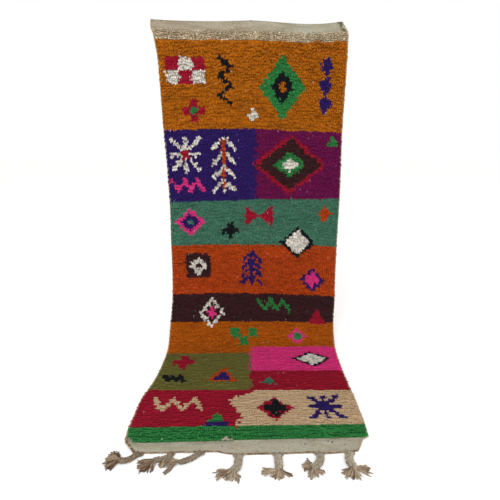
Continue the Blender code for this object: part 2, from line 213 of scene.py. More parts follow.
# Figures scattered on the blocks, later ones over earlier ones: form, middle across and along, and layers,
# the outer first, of yarn, width and height. All in metres
FIGURES = (
    ("checks", -0.325, 0.225, ("crimson", 0.195, 0.120)),
    ("other checks", -0.325, 0.225, ("cream", 0.195, 0.120)),
    ("upright zigzag", -0.125, 0.275, ("black", 0.060, 0.225)),
    ("lozenge", 0.165, 0.300, ("green", 0.230, 0.320), ("black", 0.110, 0.170), ("ochre", 0.044, 0.066)),
    ("lozenge", 0.385, 0.195, ("indigo", 0.075, 0.100)),
    ("lozenge", 0.385, 0.285, ("indigo", 0.075, 0.100)),
    ("lozenge", 0.385, 0.375, ("indigo", 0.075, 0.100)),
    ("cross", -0.290, 0.420, ("crimson", 0.115, 0.120)),
    ("box", -0.290, 0.420, ("green", 0.034, 0.040)),
    ("lozenge", 0.015, 0.445, ("cream", 0.060, 0.075)),
    ("branch", -0.140, 0.690, ("cream", 0.115, 0.270)),
    ("box", -0.140, 0.690, ("orange", 0.018, 0.250)),
    ("lozenge", 0.215, 0.690, ("crimson", 0.400, 0.320), ("brown", 0.345, 0.275)),
    ("lozenge", 0.215, 0.690, ("green", 0.175, 0.140), ("cream", 0.090, 0.074)),
    ("star", -0.345, 0.635, ("cream", 0.140, 0.150)),
    ("box", -0.345, 0.635, ("crimson", 0.044, 0.050)),
    ("level zigzag", -0.340, 0.790, ("pink", 0.170, 0.055)),
    ("triangle", 0.435, 0.560, ("green", 0.070, 0.060)),
    ("lozenge", -0.335, 1.000, ("pink", 0.175, 0.175), ("indigo", 0.105, 0.110), ("teal", 0.042, 0.046)),
    ("bow", 0.050, 0.970, ("crimson", 0.150, 0.110)),
    ("cross", -0.110, 1.055, ("black", 0.095, 0.095)),
    ("lozenge", 0.420, 0.960, ("orange", 0.080, 0.085)),
    ("lozenge", 0.270, 1.125, ("black", 0.195, 0.190), ("cream", 0.145, 0.142)),
    ("box", -0.300, 1.270, ("brown", 0.140, 0.150)),
    ("lozenge", -0.300, 1.270, ("cream", 0.110, 0.120), ("brown", 0.040, 0.045)),
    ("branch", 0.010, 1.285, ("indigo", 0.110, 0.190)),
    ("lozenge", 0.365, 1.350, ("indigo", 0.150, 0.145), ("pink", 0.105, 0.100)),
    ("lozenge", -0.225, 1.555, ("cream", 0.150, 0.185), ("brown", 0.100, 0.125), ("pink", 0.062, 0.078)),
    ("level zigzag", 0.140, 1.510, ("green", 0.180, 0.060)),
    ("triangle", 0.395, 1.575, ("crimson", 0.115, 0.095)),
    ("checks", -0.035, 1.700, ("green", 0.150, 0.110)),
    ("lozenge", 0.270, 1.695, ("pink", 0.115, 0.110), ("green", 0.066, 0.064)),
    ("cross", -0.350, 1.905, ("crimson", 0.120, 0.120)),
    ("triangle", -0.135, 2.010, ("orange", 0.150, 0.115)),
    ("triangle", -0.135, 2.020, ("indigo", 0.100, 0.075)),
    ("level zigzag", -0.375, 2.045, ("black", 0.095, 0.040)),
    ("lozenge", 0.330, 1.880, ("black", 0.215, 0.140), ("cream", 0.165, 0.105)),
    ("triangle", 0.090, 2.060, ("teal", 0.085, 0.060)),
    ("level zigzag", -0.320, 2.232, ("tan", 0.220, 0.070)),
    ("triangle", -0.140, 2.312, ("green", 0.080, 0.060)),
    ("box", -0.140, 2.347, ("indigo", 0.100, 0.026)),
    ("star", 0.330, 2.248, ("indigo", 0.130, 0.140)),
    ("lozenge", 0.110, 2.257, ("crimson", 0.155, 0.155)),
    ("cross", 0.110, 2.257, ("black", 0.105, 0.105)),
)

# Strokes of the thin figures, and shares of a figure's half size: the bow's waist and the cross's arms
STROKE = 0.020
THIN_STROKE = 0.019
BOW_WAIST = 0.08
CROSS_ARM = 0.36
CHECK_COLUMNS = 3
CHECK_ROWS = 2
BRANCH_TWIGS = 4

# How far a block's and a figure's edges stray, in knots and in rows
BLOCK_STRAY = 0.8
FIGURE_STRAY = 0.35
ROW_STRAY = 0.17

# Share of the cut ends that carry undyed wool, and how much of it
FLECK_SHARE = 0.003
FLECK_WOOL = 0.55

# Pile: each knot is three cut ends of yarn that lean towards the hem. Rings of one end: how far it has gone,
# how far it has turned from the cloth's front towards the hem, and its radius
EndRing = namedtuple("EndRing", "reach turn radius")
END_LENGTH = 0.0172
END_RINGS = (
    EndRing(0.00, math.radians(30), 0.0020),
    EndRing(0.52, math.radians(58), 0.0028),
    EndRing(1.00, math.radians(84), 0.0019),
)
END_SIDES = 3
ENDS = 3
END_ROOT = 0.0042
END_FORMS = 16
END_BEND = 0.0008
PILE_TOP = 0.015
GREEN_LENGTH = 1.12

# How unevenly the cut ends lie: what a whole knot, a run of knots in its row, and each end add. Slip is in
# row pitches, lean in radians and length in shares
Stray = namedtuple("Stray", "knot run end")
SLIP = Stray(0.12, 0.15, 0.07)
LEAN = Stray(math.radians(4), math.radians(6), math.radians(5))
LENGTH = Stray(0.05, 0, 0.08)

# Where the ends stand against their knot's place: how far nearer the top edge, in row pitches, how far each
# row is shifted against the next, in knots, and how much their places, widths and yaw vary
ROW_SLIP = -0.45
ROW_STAGGER = 0.25
END_SPACING = 0.10
END_WIDTH = 0.12
END_YAW = math.radians(8)
BRUSHED_YAW = math.radians(4)

# The ends at the cloth's sides turn outward: how far, and the power that keeps it to the last few knots
SIDE_YAW = math.radians(3)
SIDE_FLARE = 24

# How much the ends' colours vary, and how much more undyed ends do
END_TINT = 0.07
FLUFFY_TINT = 0.11

# Past this place along the cloth the pile lies smoother, by this share of its unevenness
SMOOTH_START = 1.790
SMOOTH_SHARE = 0.6

# Bands of knot rows that make one piece of pile each: where they end along the cloth, and how dark the
# painted shade at the roots of their yarn is
PileBand = namedtuple("PileBand", "name end root_shade")
PILE_BANDS = (
    PileBand("pile_upper_ochre", 0.510, 0.62),
    PileBand("pile_indigo_magenta", 0.874, 0.62),
    PileBand("pile_teal", 1.137, 0.62),
    PileBand("pile_orange", 1.440, 0.62),
    PileBand("pile_brown_ochre", 1.790, 0.62),
    PileBand("pile_olive_pink", 2.137, 0.85),
    PileBand("pile_crimson_tan", 2.363, 0.85),
    PileBand("pile_green", 2.437, 0.72),
)

# Loose tufts of wool and stray fibres on the plain weaves and the green: place, size and colour
Tuft = namedtuple("Tuft", "across along size red green blue")
TUFTS = (
    Tuft(-0.431, 0.002, 0.0030, 84, 70, 62),
    Tuft(0.005, 0.002, 0.0030, 90, 72, 66),
    Tuft(0.428, 0.004, 0.0028, 92, 78, 66),
    Tuft(-0.476, 0.002, 0.0040, 150, 134, 108),
    Tuft(-0.088, 0.030, 0.0040, 206, 196, 166),
    Tuft(-0.081, 0.021, 0.0034, 196, 180, 142),
    Tuft(-0.074, 0.033, 0.0030, 202, 192, 166),
    Tuft(0.085, 0.010, 0.0022, 140, 110, 86),
    Tuft(0.160, 0.030, 0.0020, 110, 92, 76),
    Tuft(-0.263, 2.462, 0.0032, 140, 140, 72),
    Tuft(-0.110, 2.460, 0.0028, 92, 98, 62),
    Tuft(-0.120, 2.442, 0.0052, 36, 112, 56),
    Tuft(-0.068, 2.465, 0.0026, 112, 108, 92),
    Tuft(-0.205, 2.451, 0.0022, 116, 100, 84),
    Tuft(0.030, 2.478, 0.0024, 120, 96, 78),
    Tuft(0.114, 2.487, 0.0042, 34, 28, 30),
    Tuft(0.172, 2.484, 0.0022, 92, 88, 80),
    Tuft(0.215, 2.456, 0.0030, 104, 54, 50),
    Tuft(0.262, 2.480, 0.0020, 84, 76, 66),
    Tuft(0.308, 2.448, 0.0028, 62, 60, 58),
    Tuft(0.323, 2.452, 0.0038, 70, 66, 62),
    Tuft(0.370, 2.462, 0.0024, 96, 88, 78),
    Tuft(-0.105, 2.440, 0.0066, 154, 147, 129),
    Tuft(-0.096, 2.436, 0.0076, 158, 151, 132),
    Tuft(-0.092, 2.429, 0.0054, 160, 153, 134),
    Tuft(-0.086, 2.440, 0.0070, 152, 145, 127),
    Tuft(-0.072, 2.440, 0.0052, 152, 145, 127),
)

# Half a tuft across, along and up, as shares of its size
TUFT_SHAPE = (1.25, 0.8, 0.55)

# Woven ground: its grid's layers and rows, its puckers, the knots' dye in it, painted shade between the
# knots, and tints of stains and edges, with grime on the top edge and grime and painted shade on the hem
# edge
GRID_LAYERS = ("row", "column", "front")
HEADING_STEPS = 16
RIDGE_STEPS = 12
HEM_STEPS = 22
PUCKER = 0.0016
GROUND_DYE = 0.9
GAP_SHADE = 0.4
HEADING_STAINS = 2.0
HEADING_TINT = np.array((0.02, -0.05, -0.06))
LEFT_SHADE = 0.05
RIGHT_LIGHT = 0.07
SPECKS = 0.05
STAIN_TINT = np.array((0.26, 0.32, 0.42))
GRIME_AND_SHADE_TINT = np.array((0.70, 0.64, 0.58))
HEM_LIGHT = np.array((0.09, 0.12, 0.14))

# The heading is warmer to the left and darker in its left part. Reach is half its width
HEADING_REACH = 0.48
LEFT_SHADE_END = -0.2

# Painted shadow in the crease of the curled corner: where it starts and ends past the curl's line, how
# gently, and its tint
FOLD_START = -0.010
FOLD_RISE = 0.008
FOLD_END = 0.012
FOLD_FALL = 0.006
FOLD_SHADOW_TINT = np.array((0.55, 0.62, 0.68))

# Lumps of yarn on the cloth: half size and its spread, across, along and up, and how they are laid
LUMP_FORMS = 8
LOOP_LUMP = ((0.0056, 0.18), (0.0034, 0.18), (0.0030, 0.22))
LOOP_WAVE = 0.0030
LOOP_INSET = 0.005
LOOP_STRAY = 0.0018
LOOP_ROW_STRAY = 0.0009
LOOPS_KEPT = 0.965
NUB_HEIGHT = 0.0012
STITCH_LUMP = ((0.0042, 0.12), (0.0040, 0.12), (0.0034, 0.10))
STITCH_PITCH = 0.0060
STITCH_INSET = 0.0022
STITCH_HEIGHT = 0.0048
CORNER_SWELL = (0.5, 0.35, 0.2)
TWINE_LUMP = ((0.0042, 0.16), (0.0026, 0.20), (0.0023, 0.10))
TWINE_PITCH = 0.0048
TWINE_HEIGHT = 0.0038

# Margin round each face on a map for baking, as a share of its place
BAKE_MARGIN = 0.12

# Plaits: where they leave the hem, and their route on the floor as across and forward
Plait = namedtuple("Plait", "width root route")
PLAITS = (
    Plait(0.025, -0.412, ((-0.430, 0.957), (-0.448, 0.974), (-0.467, 0.981), (-0.485, 0.980))),
    Plait(0.024, -0.299, ((-0.300, 0.958), (-0.318, 0.972), (-0.343, 0.976), (-0.362, 0.978))),
    Plait(0.024, -0.180, ((-0.197, 0.952), (-0.220, 0.971), (-0.243, 0.982), (-0.260, 0.989))),
    Plait(0.031, -0.044, ((-0.043, 0.972), (-0.045, 1.002), (-0.054, 1.018), (-0.065, 1.028))),
    Plait(0.031, 0.106, ((0.105, 0.972), (0.105, 1.003), (0.103, 1.026))),
    Plait(0.029, 0.264, ((0.263, 0.968), (0.254, 0.990), (0.239, 1.006), (0.226, 1.016))),
    Plait(0.031, 0.384, ((0.372, 0.957), (0.367, 0.981), (0.372, 1.003), (0.377, 1.018))),
)

# Sprays of frayed locks: plait, start, heading and half spread in degrees from straight forward towards +X,
# length, how many locks, how much they bend, and how high their middle lies
Spray = namedtuple("Spray", "plait across forward heading spread length locks swerve rise")
SPRAYS = (
    Spray(1, -0.481, 0.978, -126, 20, 0.060, 8, 0.06, 0.003),
    Spray(1, -0.481, 0.978, -92, 18, 0.060, 8, 0.10, 0.002),
    Spray(1, -0.481, 0.978, -50, 14, 0.056, 7, 0.12, 0.003),
    Spray(2, -0.358, 0.979, -86, 14, 0.062, 5, 0.35, 0.004),
    Spray(2, -0.358, 0.979, -48, 22, 0.062, 8, 0.25, 0.003),
    Spray(2, -0.345, 0.977, -15, 12, 0.044, 3, 0.30, 0.002),
    Spray(2, -0.316, 0.974, -20, 26, 0.030, 4, 0.20, 0.003),
    Spray(3, -0.268, 0.982, -36, 3, 0.062, 7, 0.02, 0.003),
    Spray(3, -0.262, 0.986, -92, 16, 0.066, 6, 0.25, 0.012),
    Spray(3, -0.262, 0.986, -68, 14, 0.040, 4, 0.30, 0.004),
    Spray(4, -0.062, 1.024, -69, 11, 0.066, 7, 0.12, 0.004),
    Spray(4, -0.062, 1.024, -28, 22, 0.042, 7, 0.25, 0.003),
    Spray(4, -0.060, 1.020, 30, 14, 0.044, 5, 0.35, 0.004),
    Spray(5, 0.103, 1.022, -92, 16, 0.056, 8, 0.20, 0.006),
    Spray(5, 0.103, 1.022, -8, 42, 0.036, 10, 0.20, 0.003),
    Spray(5, 0.103, 1.022, 68, 9, 0.042, 4, 0.12, 0.003),
    Spray(6, 0.229, 1.012, -108, 34, 0.038, 9, 0.45, 0.006),
    Spray(6, 0.229, 1.012, -26, 14, 0.045, 4, 0.25, 0.003),
    Spray(6, 0.229, 1.012, 18, 20, 0.028, 4, 0.35, 0.003),
    Spray(6, 0.229, 1.012, 88, 20, 0.038, 4, 0.15, 0.002),
    Spray(6, 0.232, 1.004, -160, 6, 0.042, 1, 0.30, 0.004),
    Spray(7, 0.376, 1.014, -74, 9, 0.048, 4, 0.15, 0.003),
    Spray(7, 0.376, 1.014, -14, 40, 0.044, 11, 0.25, 0.004),
    Spray(7, 0.376, 1.014, 74, 9, 0.056, 5, 0.12, 0.003),
    Spray(7, 0.376, 1.014, 104, 12, 0.056, 6, 0.10, 0.006),
    Spray(7, 0.374, 1.010, -100, 5, 0.034, 1, 0.20, 0.003),
)

# Plaits: how dirty each one is, its thickness against its width, the wider root, the pinched neck, its three
# strands, and the yarns of a lock
RoutePoint = namedtuple("RoutePoint", "distance x y")
PLAIT_SOIL = (0.90, 0.75, 0.75, 0.12, 0.02, 0.15, 0.15)
PLAIT_FLATNESS = 0.60
PLAIT_STEP = 0.0030
PLAIT_TURN = 0.040
ROOT_SPREAD = 1.45
GATHER_LENGTH = 0.016
NECK_PINCH = 0.22
NECK_LENGTH = 0.014
STRAND_WIDTH = 0.50
STRAND_HEIGHT = 0.62
STRAND_SWING = 0.27
STRAND_RISE = 0.19
YARN_SIDES = 8
LOCK_YARNS = 5
LOCK_ROOTS = 0.34
WIDEST_LOCK = math.radians(80)
LOCK_SOIL = 0.42
LEAST_FRIZZ = 0.08
MORE_FRIZZ = 0.20
FRIZZY_SPREAD = 14
LOCK_LIFT = 0.006
LOCK_TAPER = ((0, 0.2, 0.85, 1), (0.9, 1.1, 1.05, 0.75))
FRAY_STEPS = 5
FRAY_SIDES = 5
FRAY_RADIUS = 0.0018

# Colours of the undyed yarns as seen, 0 to 255, and where along the cloth the grimy corner starts
SELVEDGE_COLOUR = (172, 152, 122)
GRIME_COLOUR = (104, 76, 56)
CORNER_START = 2.40
PLAIT_COLOUR = (159, 149, 130)
PLAIT_DARK_COLOUR = (112, 90, 72)
FRAY_COLOUR = (184, 163, 136)
FRAY_DARK_COLOUR = (88, 62, 44)

# Camera of the photograph, and the studio
CAMERA_PLACE = (0.0, -2.0805, -0.530)
CAMERA_PITCH = math.radians(17.1)
CAMERA_LENS = 27.07
CAMERA_SENSOR = 36.0
FLOOR_COLOUR = (0.90, 0.90, 0.89)
FLOOR_GLOW = 0.10
FLOOR_SIZE = 30.0
FLOOR_CLEARANCE = 0.0004
Lamp = namedtuple("Lamp", "name place energy size")
LAMPS = (
    Lamp("key light", (-1.6, -3.2, 1.6), 60, 2.2),
    Lamp("fill light", (2.4, -2.8, 0.6), 22, 2.6),
)
LAMP_TARGET = (0, -0.3, -0.9)

# Sockets that the shader groups share, and how closely the weft's slubs lie across and along the cloth
LOOK_SOCKETS = {"Colour": "Color", "Normal": "Vector"}
SLUBS_PER_METRE = (75, 210, 0)


def linear(colour):
    """A colour seen as 0 to 255, as scene-linear shares."""
    share = np.asarray(colour, float) / 255
    return np.where(share <= 0.04045, share / 12.92, ((share + 0.055) / 1.055) ** 2.4)


def yarn_colour(name):
    """A yarn's colour as seen, 0 to 255."""
    yarn = YARNS[name]
    return yarn.red, yarn.green, yarn.blue


def follow(rows, by, column, at):
    """Smooth values of a table's column at places, with no overshoot between its rows."""
    places = np.array([getattr(row, by) for row in rows])
    values = np.array([getattr(row, column) for row in rows])
    slopes = np.diff(values) / np.diff(places)
    before, after = slopes[:-1], slopes[1:]
    level = before * after <= 0
    inner = np.where(level, 0, 2 * before * after / np.where(level, 1, before + after))
    tangents = np.concatenate(([slopes[0]], inner, [slopes[-1]]))
    at = np.clip(at, places[0], places[-1])
    i = np.clip(np.searchsorted(places, at, side="right") - 1, 0, len(slopes) - 1)
    span = places[i + 1] - places[i]
    t = (at - places[i]) / span
    return (
        values[i] * (1 + 2 * t) * (1 - t) ** 2
        + tangents[i] * span * t * (1 - t) ** 2
        + values[i + 1] * t * t * (3 - 2 * t)
        - tangents[i + 1] * span * t * t * (1 - t)
    )


def ease(t):
    """0 up to t = 0, 1 from t = 1, smooth between."""
    t = np.clip(t, 0.0, 1.0)
    return t * t * (3 - 2 * t)


def bend_table(steps=512):
    """Shares of the bend gone by, and the forward and downward reach there. Its turn grows as t squared."""
    middles = (np.arange(steps) + 0.5) / steps
    turn = math.pi / 2 * middles ** 2
    forward = np.concatenate(([0], np.cumsum(np.sin(turn)) / steps))
    down = np.concatenate(([0], np.cumsum(np.cos(turn)) / steps))
    return np.linspace(0, 1, steps + 1), forward, down


BEND_SHARES, BEND_FORWARD, BEND_DOWN = bend_table()
BEND_LENGTH = (HANG_HEIGHT - STRAIGHT_DROP) / BEND_DOWN[-1]
FLOOR_START = STRAIGHT_DROP + BEND_LENGTH


def profile(along):
    """Forward reach, drop and turn from upright of the cloth's back at distances along it."""
    t = np.clip((along - STRAIGHT_DROP) / BEND_LENGTH, 0, 1)
    forward = BEND_LENGTH * np.interp(t, BEND_SHARES, BEND_FORWARD) + np.maximum(along - FLOOR_START, 0)
    drop = np.minimum(along, STRAIGHT_DROP) + BEND_LENGTH * np.interp(t, BEND_SHARES, BEND_DOWN)
    return forward, drop, math.pi / 2 * t * t


def sag(across, along):
    """How far places near the top hang below the line through the pins."""
    right_share = np.maximum(across / RIGHT_PIN, 0) ** RIGHT_SAG_LEAN
    t = np.where(across < 0, across / LEFT_PIN, right_share)
    depth = np.where(across < 0, LEFT_SAG, RIGHT_SAG)
    return 4 * depth * np.maximum(t * (1 - t), 0) * np.exp(-along / SAG_FADE)


def curled(place, front, along):
    """The cloth's places and front directions with the corner curled forward."""
    beyond = np.where(along < RIDGES_END, (place - CURL_TOP) @ CURL_OUTWARD, 0)
    beyond = np.maximum(beyond, 0)
    turn = np.minimum(beyond / CURL_RADIUS, CURL_ANGLE)
    flap = beyond - turn * CURL_RADIUS
    sideways = CURL_RADIUS * np.sin(turn) + flap * np.cos(turn)
    lift = CURL_RADIUS * (1 - np.cos(turn)) + flap * np.sin(turn)
    place = place + CURL_OUTWARD * (sideways - beyond)[..., None] + front * lift[..., None]
    return place, front * np.cos(turn)[..., None] - CURL_OUTWARD * np.sin(turn)[..., None]


def sides_at(along):
    """How far the left and the right side stand from the centre line, at places along the cloth."""
    return follow(STATIONS, "along", "left", along), follow(STATIONS, "along", "right", along)


def back_of_cloth(across, along):
    """Points of the cloth's back, and the directions in which the pile stands there."""
    left, right = sides_at(along)
    share = across / np.where(across < 0, left, right)
    hanging = sag(across, along)
    hem_share = ease((along - PILE_END) / (RUG_LENGTH - PILE_END))
    slipped = (
        along
        + follow(STATIONS, "along", "tilt", along) * share / 2
        - follow(STATIONS, "along", "bow", along) * (1 - share * share)
        + hanging
        + hem_share * follow(HEM_EDGE, "place", "extra", across)
    )
    forward, drop, turn = profile(slipped)
    place = np.stack((across, -forward, -drop), -1)
    front = np.stack((np.zeros_like(turn), -np.cos(turn), np.sin(turn)), -1)
    place, front = curled(place, front, along)
    lifted = ease(1 - np.abs(along - LIFT_ALONG) / LIFT_HALF_LENGTH)
    lifted = lifted * ease(1 - (across + left) / LIFT_WIDTH)
    return place + front * (hanging * SAG_SWELL + LIFT_HEIGHT * lifted)[..., None], front


def bare_width(along):
    """How far in from the left side the weave is bare."""
    return BARE_WIDTH * ease((along - BARE_START) / (PILE_END - BARE_START))


def cloth_axes(front):
    """Directions to the right and towards the hem, square to the cloth's front."""
    side = np.broadcast_to(np.array((1.0, 0, 0)), front.shape)
    side = side - front * (side * front).sum(-1, keepdims=True)
    side = side / np.linalg.norm(side, axis=-1, keepdims=True)
    return side, np.cross(side, front)


def ground_height(from_side, along):
    """Height of the ground's front over its back, at a distance from the nearer side."""
    steps = (
        (HEADING_END, WEAVE_THICKNESS, RIDGE_GROUND),
        (RIDGES_END, RIDGE_GROUND, PILE_GROUND),
        (PILE_END, PILE_GROUND, WEAVE_THICKNESS),
    )
    height = np.full(along.shape, WEAVE_THICKNESS)
    for start, before, after in steps:
        share = np.clip((along - start) / STEP_LENGTH, 0, 1)
        height = np.where(along >= start, before + (after - before) * share, height)
    share = np.clip(from_side / SELVEDGE_WIDTH - 0.5, 0, 1)
    return WEAVE_THICKNESS + (height - WEAVE_THICKNESS) * share


def smoothed(values, reach, axis):
    """Values averaged with their neighbours along one axis."""
    kernel = np.hanning(2 * reach + 3)[1:-1]
    kernel /= kernel.sum()
    return np.apply_along_axis(lambda line: np.convolve(line, kernel, "same"), axis, values)


def smooth_noise(uneven, shape, down, over):
    """Even-strength noise that is smooth over so many rows down and columns over. Zero leaves it rough."""
    noise = uneven.normal(size=shape)
    if down:
        noise = smoothed(noise, down, 0)
    if over:
        noise = smoothed(noise, over, 1)
    return noise / noise.std()


def spread_evenly(values):
    """The same order of values, with an even spread from 0 to 1."""
    order = np.argsort(np.argsort(values.ravel()))
    return (order / (values.size - 1)).reshape(values.shape)


def near_stroke(x, y, start, end, width):
    """Whether points lie within half a width of a line between two points."""
    a, b = np.array(start), np.array(end)
    t = np.clip(((x - a[0]) * (b - a)[0] + (y - a[1]) * (b - a)[1]) / ((b - a) @ (b - a)), 0, 1)
    return np.hypot(x - a[0] - t * (b - a)[0], y - a[1] - t * (b - a)[1]) < width / 2


def near_strokes(x, y, points, width):
    """Whether points lie within half a width of a line through several points."""
    near = [near_stroke(x, y, a, b, width) for a, b in zip(points, points[1:])]
    return np.any(near, axis=0)


def zigzag(reach, swing):
    """Points of a zigzag of five strokes: places along it, and to its sides."""
    return [(turn * reach, side * swing) for turn, side in zip(np.linspace(-1, 1, 6), (-1, 1) * 3)]


def figure_mask(form, x, y, w, h):
    """Which knots a figure covers, by their places from its middle and its half width and height."""
    inside = (np.abs(x) < w) & (np.abs(y) < h)
    if form == "box":
        return inside
    if form == "lozenge":
        return np.abs(x) / w + np.abs(y) / h < 1
    if form == "triangle":
        return inside & (np.abs(x) < w * (y + h) / (2 * h))
    if form == "bow":
        return inside & (np.abs(x) / w > np.abs(y) / h - BOW_WAIST)
    if form == "cross":
        return inside & ((np.abs(x) < w * CROSS_ARM) | (np.abs(y) < h * CROSS_ARM))
    if form in ("checks", "other checks"):
        column = np.floor((x + w) / (2 * w) * CHECK_COLUMNS)
        row = np.floor((y + h) / (2 * h) * CHECK_ROWS)
        return inside & ((column + row) % 2 == (form == "other checks"))
    if form == "star":
        rays = ((-w, -h), (-w, h), (0, -h), (-w, 0))
        return np.any([near_stroke(x, y, (a, b), (-a, -b), STROKE) for a, b in rays], axis=0)
    if form == "upright zigzag":
        return near_strokes(y, x, zigzag(h, w), THIN_STROKE)
    if form == "level zigzag":
        return near_strokes(x, y, zigzag(w, h), THIN_STROKE)
    if form == "branch":
        twigs = [near_strokes(x, y, ((-w, top + w), (0, top), (w, top + w)), THIN_STROKE)
                 for top in np.linspace(-h, h - w, BRANCH_TWIGS)]
        return near_stroke(x, y, (0, -h), (0, h), THIN_STROKE) | np.any(twigs, axis=0)
    raise ValueError(form)


def row_at(along):
    """Number of the first knot row past a place along the cloth."""
    return round((along - RIDGES_END) / ROW_PITCH)


def make_design(uneven):
    """Places of the knots, and the number of each one's yarn, by row and column."""
    rows = RIDGES_END + (np.arange(KNOT_ROWS) + 0.5) * ROW_PITCH
    along = np.repeat(rows[:, None], KNOT_COLUMNS, 1)
    left, right = sides_at(np.minimum(rows, SQUARE_END))
    left = left - bare_width(rows)
    shares = (np.arange(KNOT_COLUMNS) + 0.5) / KNOT_COLUMNS
    across = -left[:, None] + EDGE_INSET + (left + right - 2 * EDGE_INSET)[:, None] * shares
    knot_width = RUG_WIDTH / KNOT_COLUMNS
    stray = uneven.normal(size=along.shape) * knot_width
    row = np.arange(KNOT_ROWS)[:, None] + 0.5 + uneven.normal(size=along.shape) * ROW_STRAY
    row = np.clip(row, 0.1, KNOT_ROWS - 0.1)
    meeting = follow(MEETINGS, "along", "across", along)
    yarn = np.zeros(along.shape, int)
    for block in BLOCKS:
        inside = (row >= row_at(block.start)) & (row < row_at(block.end))
        if block.side == "left":
            inside &= across + stray * BLOCK_STRAY < meeting
        if block.side == "right":
            inside &= across + stray * BLOCK_STRAY >= meeting
        yarn[inside] = YARN_NAMES.index(block.yarn)
    seen_across = across + stray * FIGURE_STRAY
    seen_along = RIDGES_END + row * ROW_PITCH
    for form, middle_across, middle_along, *layers in FIGURES:
        x, y = seen_across - middle_across, seen_along - middle_along
        for name, width, height in layers:
            yarn[figure_mask(form, x, y, width / 2, height / 2)] = YARN_NAMES.index(name)
    return across, along, yarn


def knot_colours(yarn, uneven):
    """Linear colours of the knots: the yarn's colour, its short darker lengths, and faint bands of each
    dyeing.
    """
    dyes = linear([yarn_colour(name) for name in YARNS])
    streaks = np.array([y.streak for y in YARNS.values()])[yarn]
    lengths = spread_evenly(smooth_noise(uneven, yarn.shape, 0, 2))
    knots = smooth_noise(uneven, yarn.shape, 0, 0)
    patches = smooth_noise(uneven, yarn.shape, 6, 9)
    bath = smooth_noise(uneven, (KNOT_ROWS, 1), 1, 0)
    dark = LENGTH_STREAK * np.maximum(lengths - PLAIN_SHARE, 0) + KNOT_STREAK * knots
    dark = dark + PATCH_STREAK * patches + BATH_STREAK * bath
    tone = LIGHTEST_TONE - streaks * (dark + 0.2)
    return dyes[yarn] * np.clip(tone, 0.25, 1.35)[..., None]


def add_piece(name, mesh, material):
    """Adds a piece of the rug, which rides on its one body."""
    mesh.materials.append(material)
    piece = bpy.data.objects.new(name, mesh)
    bpy.context.scene.collection.objects.link(piece)
    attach(piece, "root")
    return piece


def mesh_of(name, bm):
    """A smooth mesh of a bmesh, with its faces pointing out."""
    bmesh.ops.recalc_face_normals(bm, faces=bm.faces[:])
    mesh = bpy.data.meshes.new(name)
    bm.to_mesh(mesh)
    bm.free()
    mesh.shade_smooth()
    return mesh


def set_values(collection, name, values, kind=np.float32):
    """Fills one property of all of a collection's items."""
    collection.foreach_set(name, values.astype(kind).ravel())


def set_colours(mesh, colours, domain):
    """Stores linear colours, the yarns' own with any painted shade on them, one for each point or corner."""
    layer = mesh.color_attributes.new("colour_and_shade", "FLOAT_COLOR", domain)
    set_values(layer.data, "color", np.concatenate((colours, np.ones((len(colours), 1))), 1))


Form = namedtuple("Form", "points corners starts totals")


def form_of(bm):
    """A small shape's points, its faces' corners, and each face's first corner and count of corners."""
    bmesh.ops.recalc_face_normals(bm, faces=bm.faces[:])
    bm.verts.index_update()
    points = np.array([vert.co for vert in bm.verts])
    faces = [[vert.index for vert in face.verts] for face in bm.faces]
    bm.free()
    totals = np.array([len(face) for face in faces])
    return Form(points, np.concatenate(faces), np.cumsum(totals) - totals, totals)


def joined_copies(name, material, forms, copies, point_shades, squares=None):
    """One piece of many small shapes, each with a form, a place, three axes, a size, a colour and painted
    shade.
    """
    picks, places, axes, sizes, colours = copies
    count = len(picks)
    form = forms[0]
    points = np.stack([f.points for f in forms])[picks] * sizes[:, None, :]
    points = places[:, None, :] + np.einsum("cpk,ckj->cpj", points, axes)
    copy = np.arange(count)[:, None]
    corners = form.corners[None] + copy * len(form.points)
    starts = form.starts[None] + copy * len(form.corners)
    mesh = bpy.data.meshes.new(name)
    mesh.vertices.add(points.shape[0] * points.shape[1])
    set_values(mesh.vertices, "co", points)
    mesh.loops.add(corners.size)
    set_values(mesh.loops, "vertex_index", corners, np.int32)
    mesh.polygons.add(starts.size)
    set_values(mesh.polygons, "loop_start", starts, np.int32)
    mesh.update(calc_edges=True)
    mesh.shade_smooth()
    set_colours(mesh, (colours[:, None] * point_shades[None, :, None]).reshape(-1, 3), "POINT")
    lay_out_copies(mesh, form, even_squares(count) if squares is None else squares)
    return add_piece(name, mesh, material)


def even_squares(count):
    """Left, bottom, width and height of a square of the map for each copy."""
    side = math.ceil(math.sqrt(count))
    copy = np.arange(count)
    size = np.full(count, 1 / side)
    return np.stack((copy % side / side, copy // side / side, size, size), -1)


def lay_out_copies(mesh, form, squares):
    """A map for baking: each copy has a place of its own, and each of its faces a place within that."""
    faces = math.ceil(math.sqrt(len(form.totals)))
    near, far = BAKE_MARGIN, 1 - BAKE_MARGIN
    square = np.array(((near, near), (far, near), (far, far), (near, far)))
    face = np.repeat(np.arange(len(form.totals)), form.totals)
    corner = np.arange(len(form.corners)) - form.starts[face]
    inner = (np.stack((face % faces, face // faces), -1) + square[corner]) / faces
    places = squares[:, None, :2] + inner[None] * squares[:, None, 2:]
    set_values(mesh.uv_layers.new(name="OFBake").uv, "vector", places)


def next_cap(bm, cap, first):
    """Extrudes the end face of a yarn, the first time with walls all round, and gives the new end face."""
    if not first:
        return bmesh.ops.extrude_discrete_faces(bm, faces=[cap])["faces"][0]
    extruded = bmesh.ops.extrude_face_region(bm, geom=[cap])["geom"]
    return next(item for item in extruded if isinstance(item, bmesh.types.BMFace))


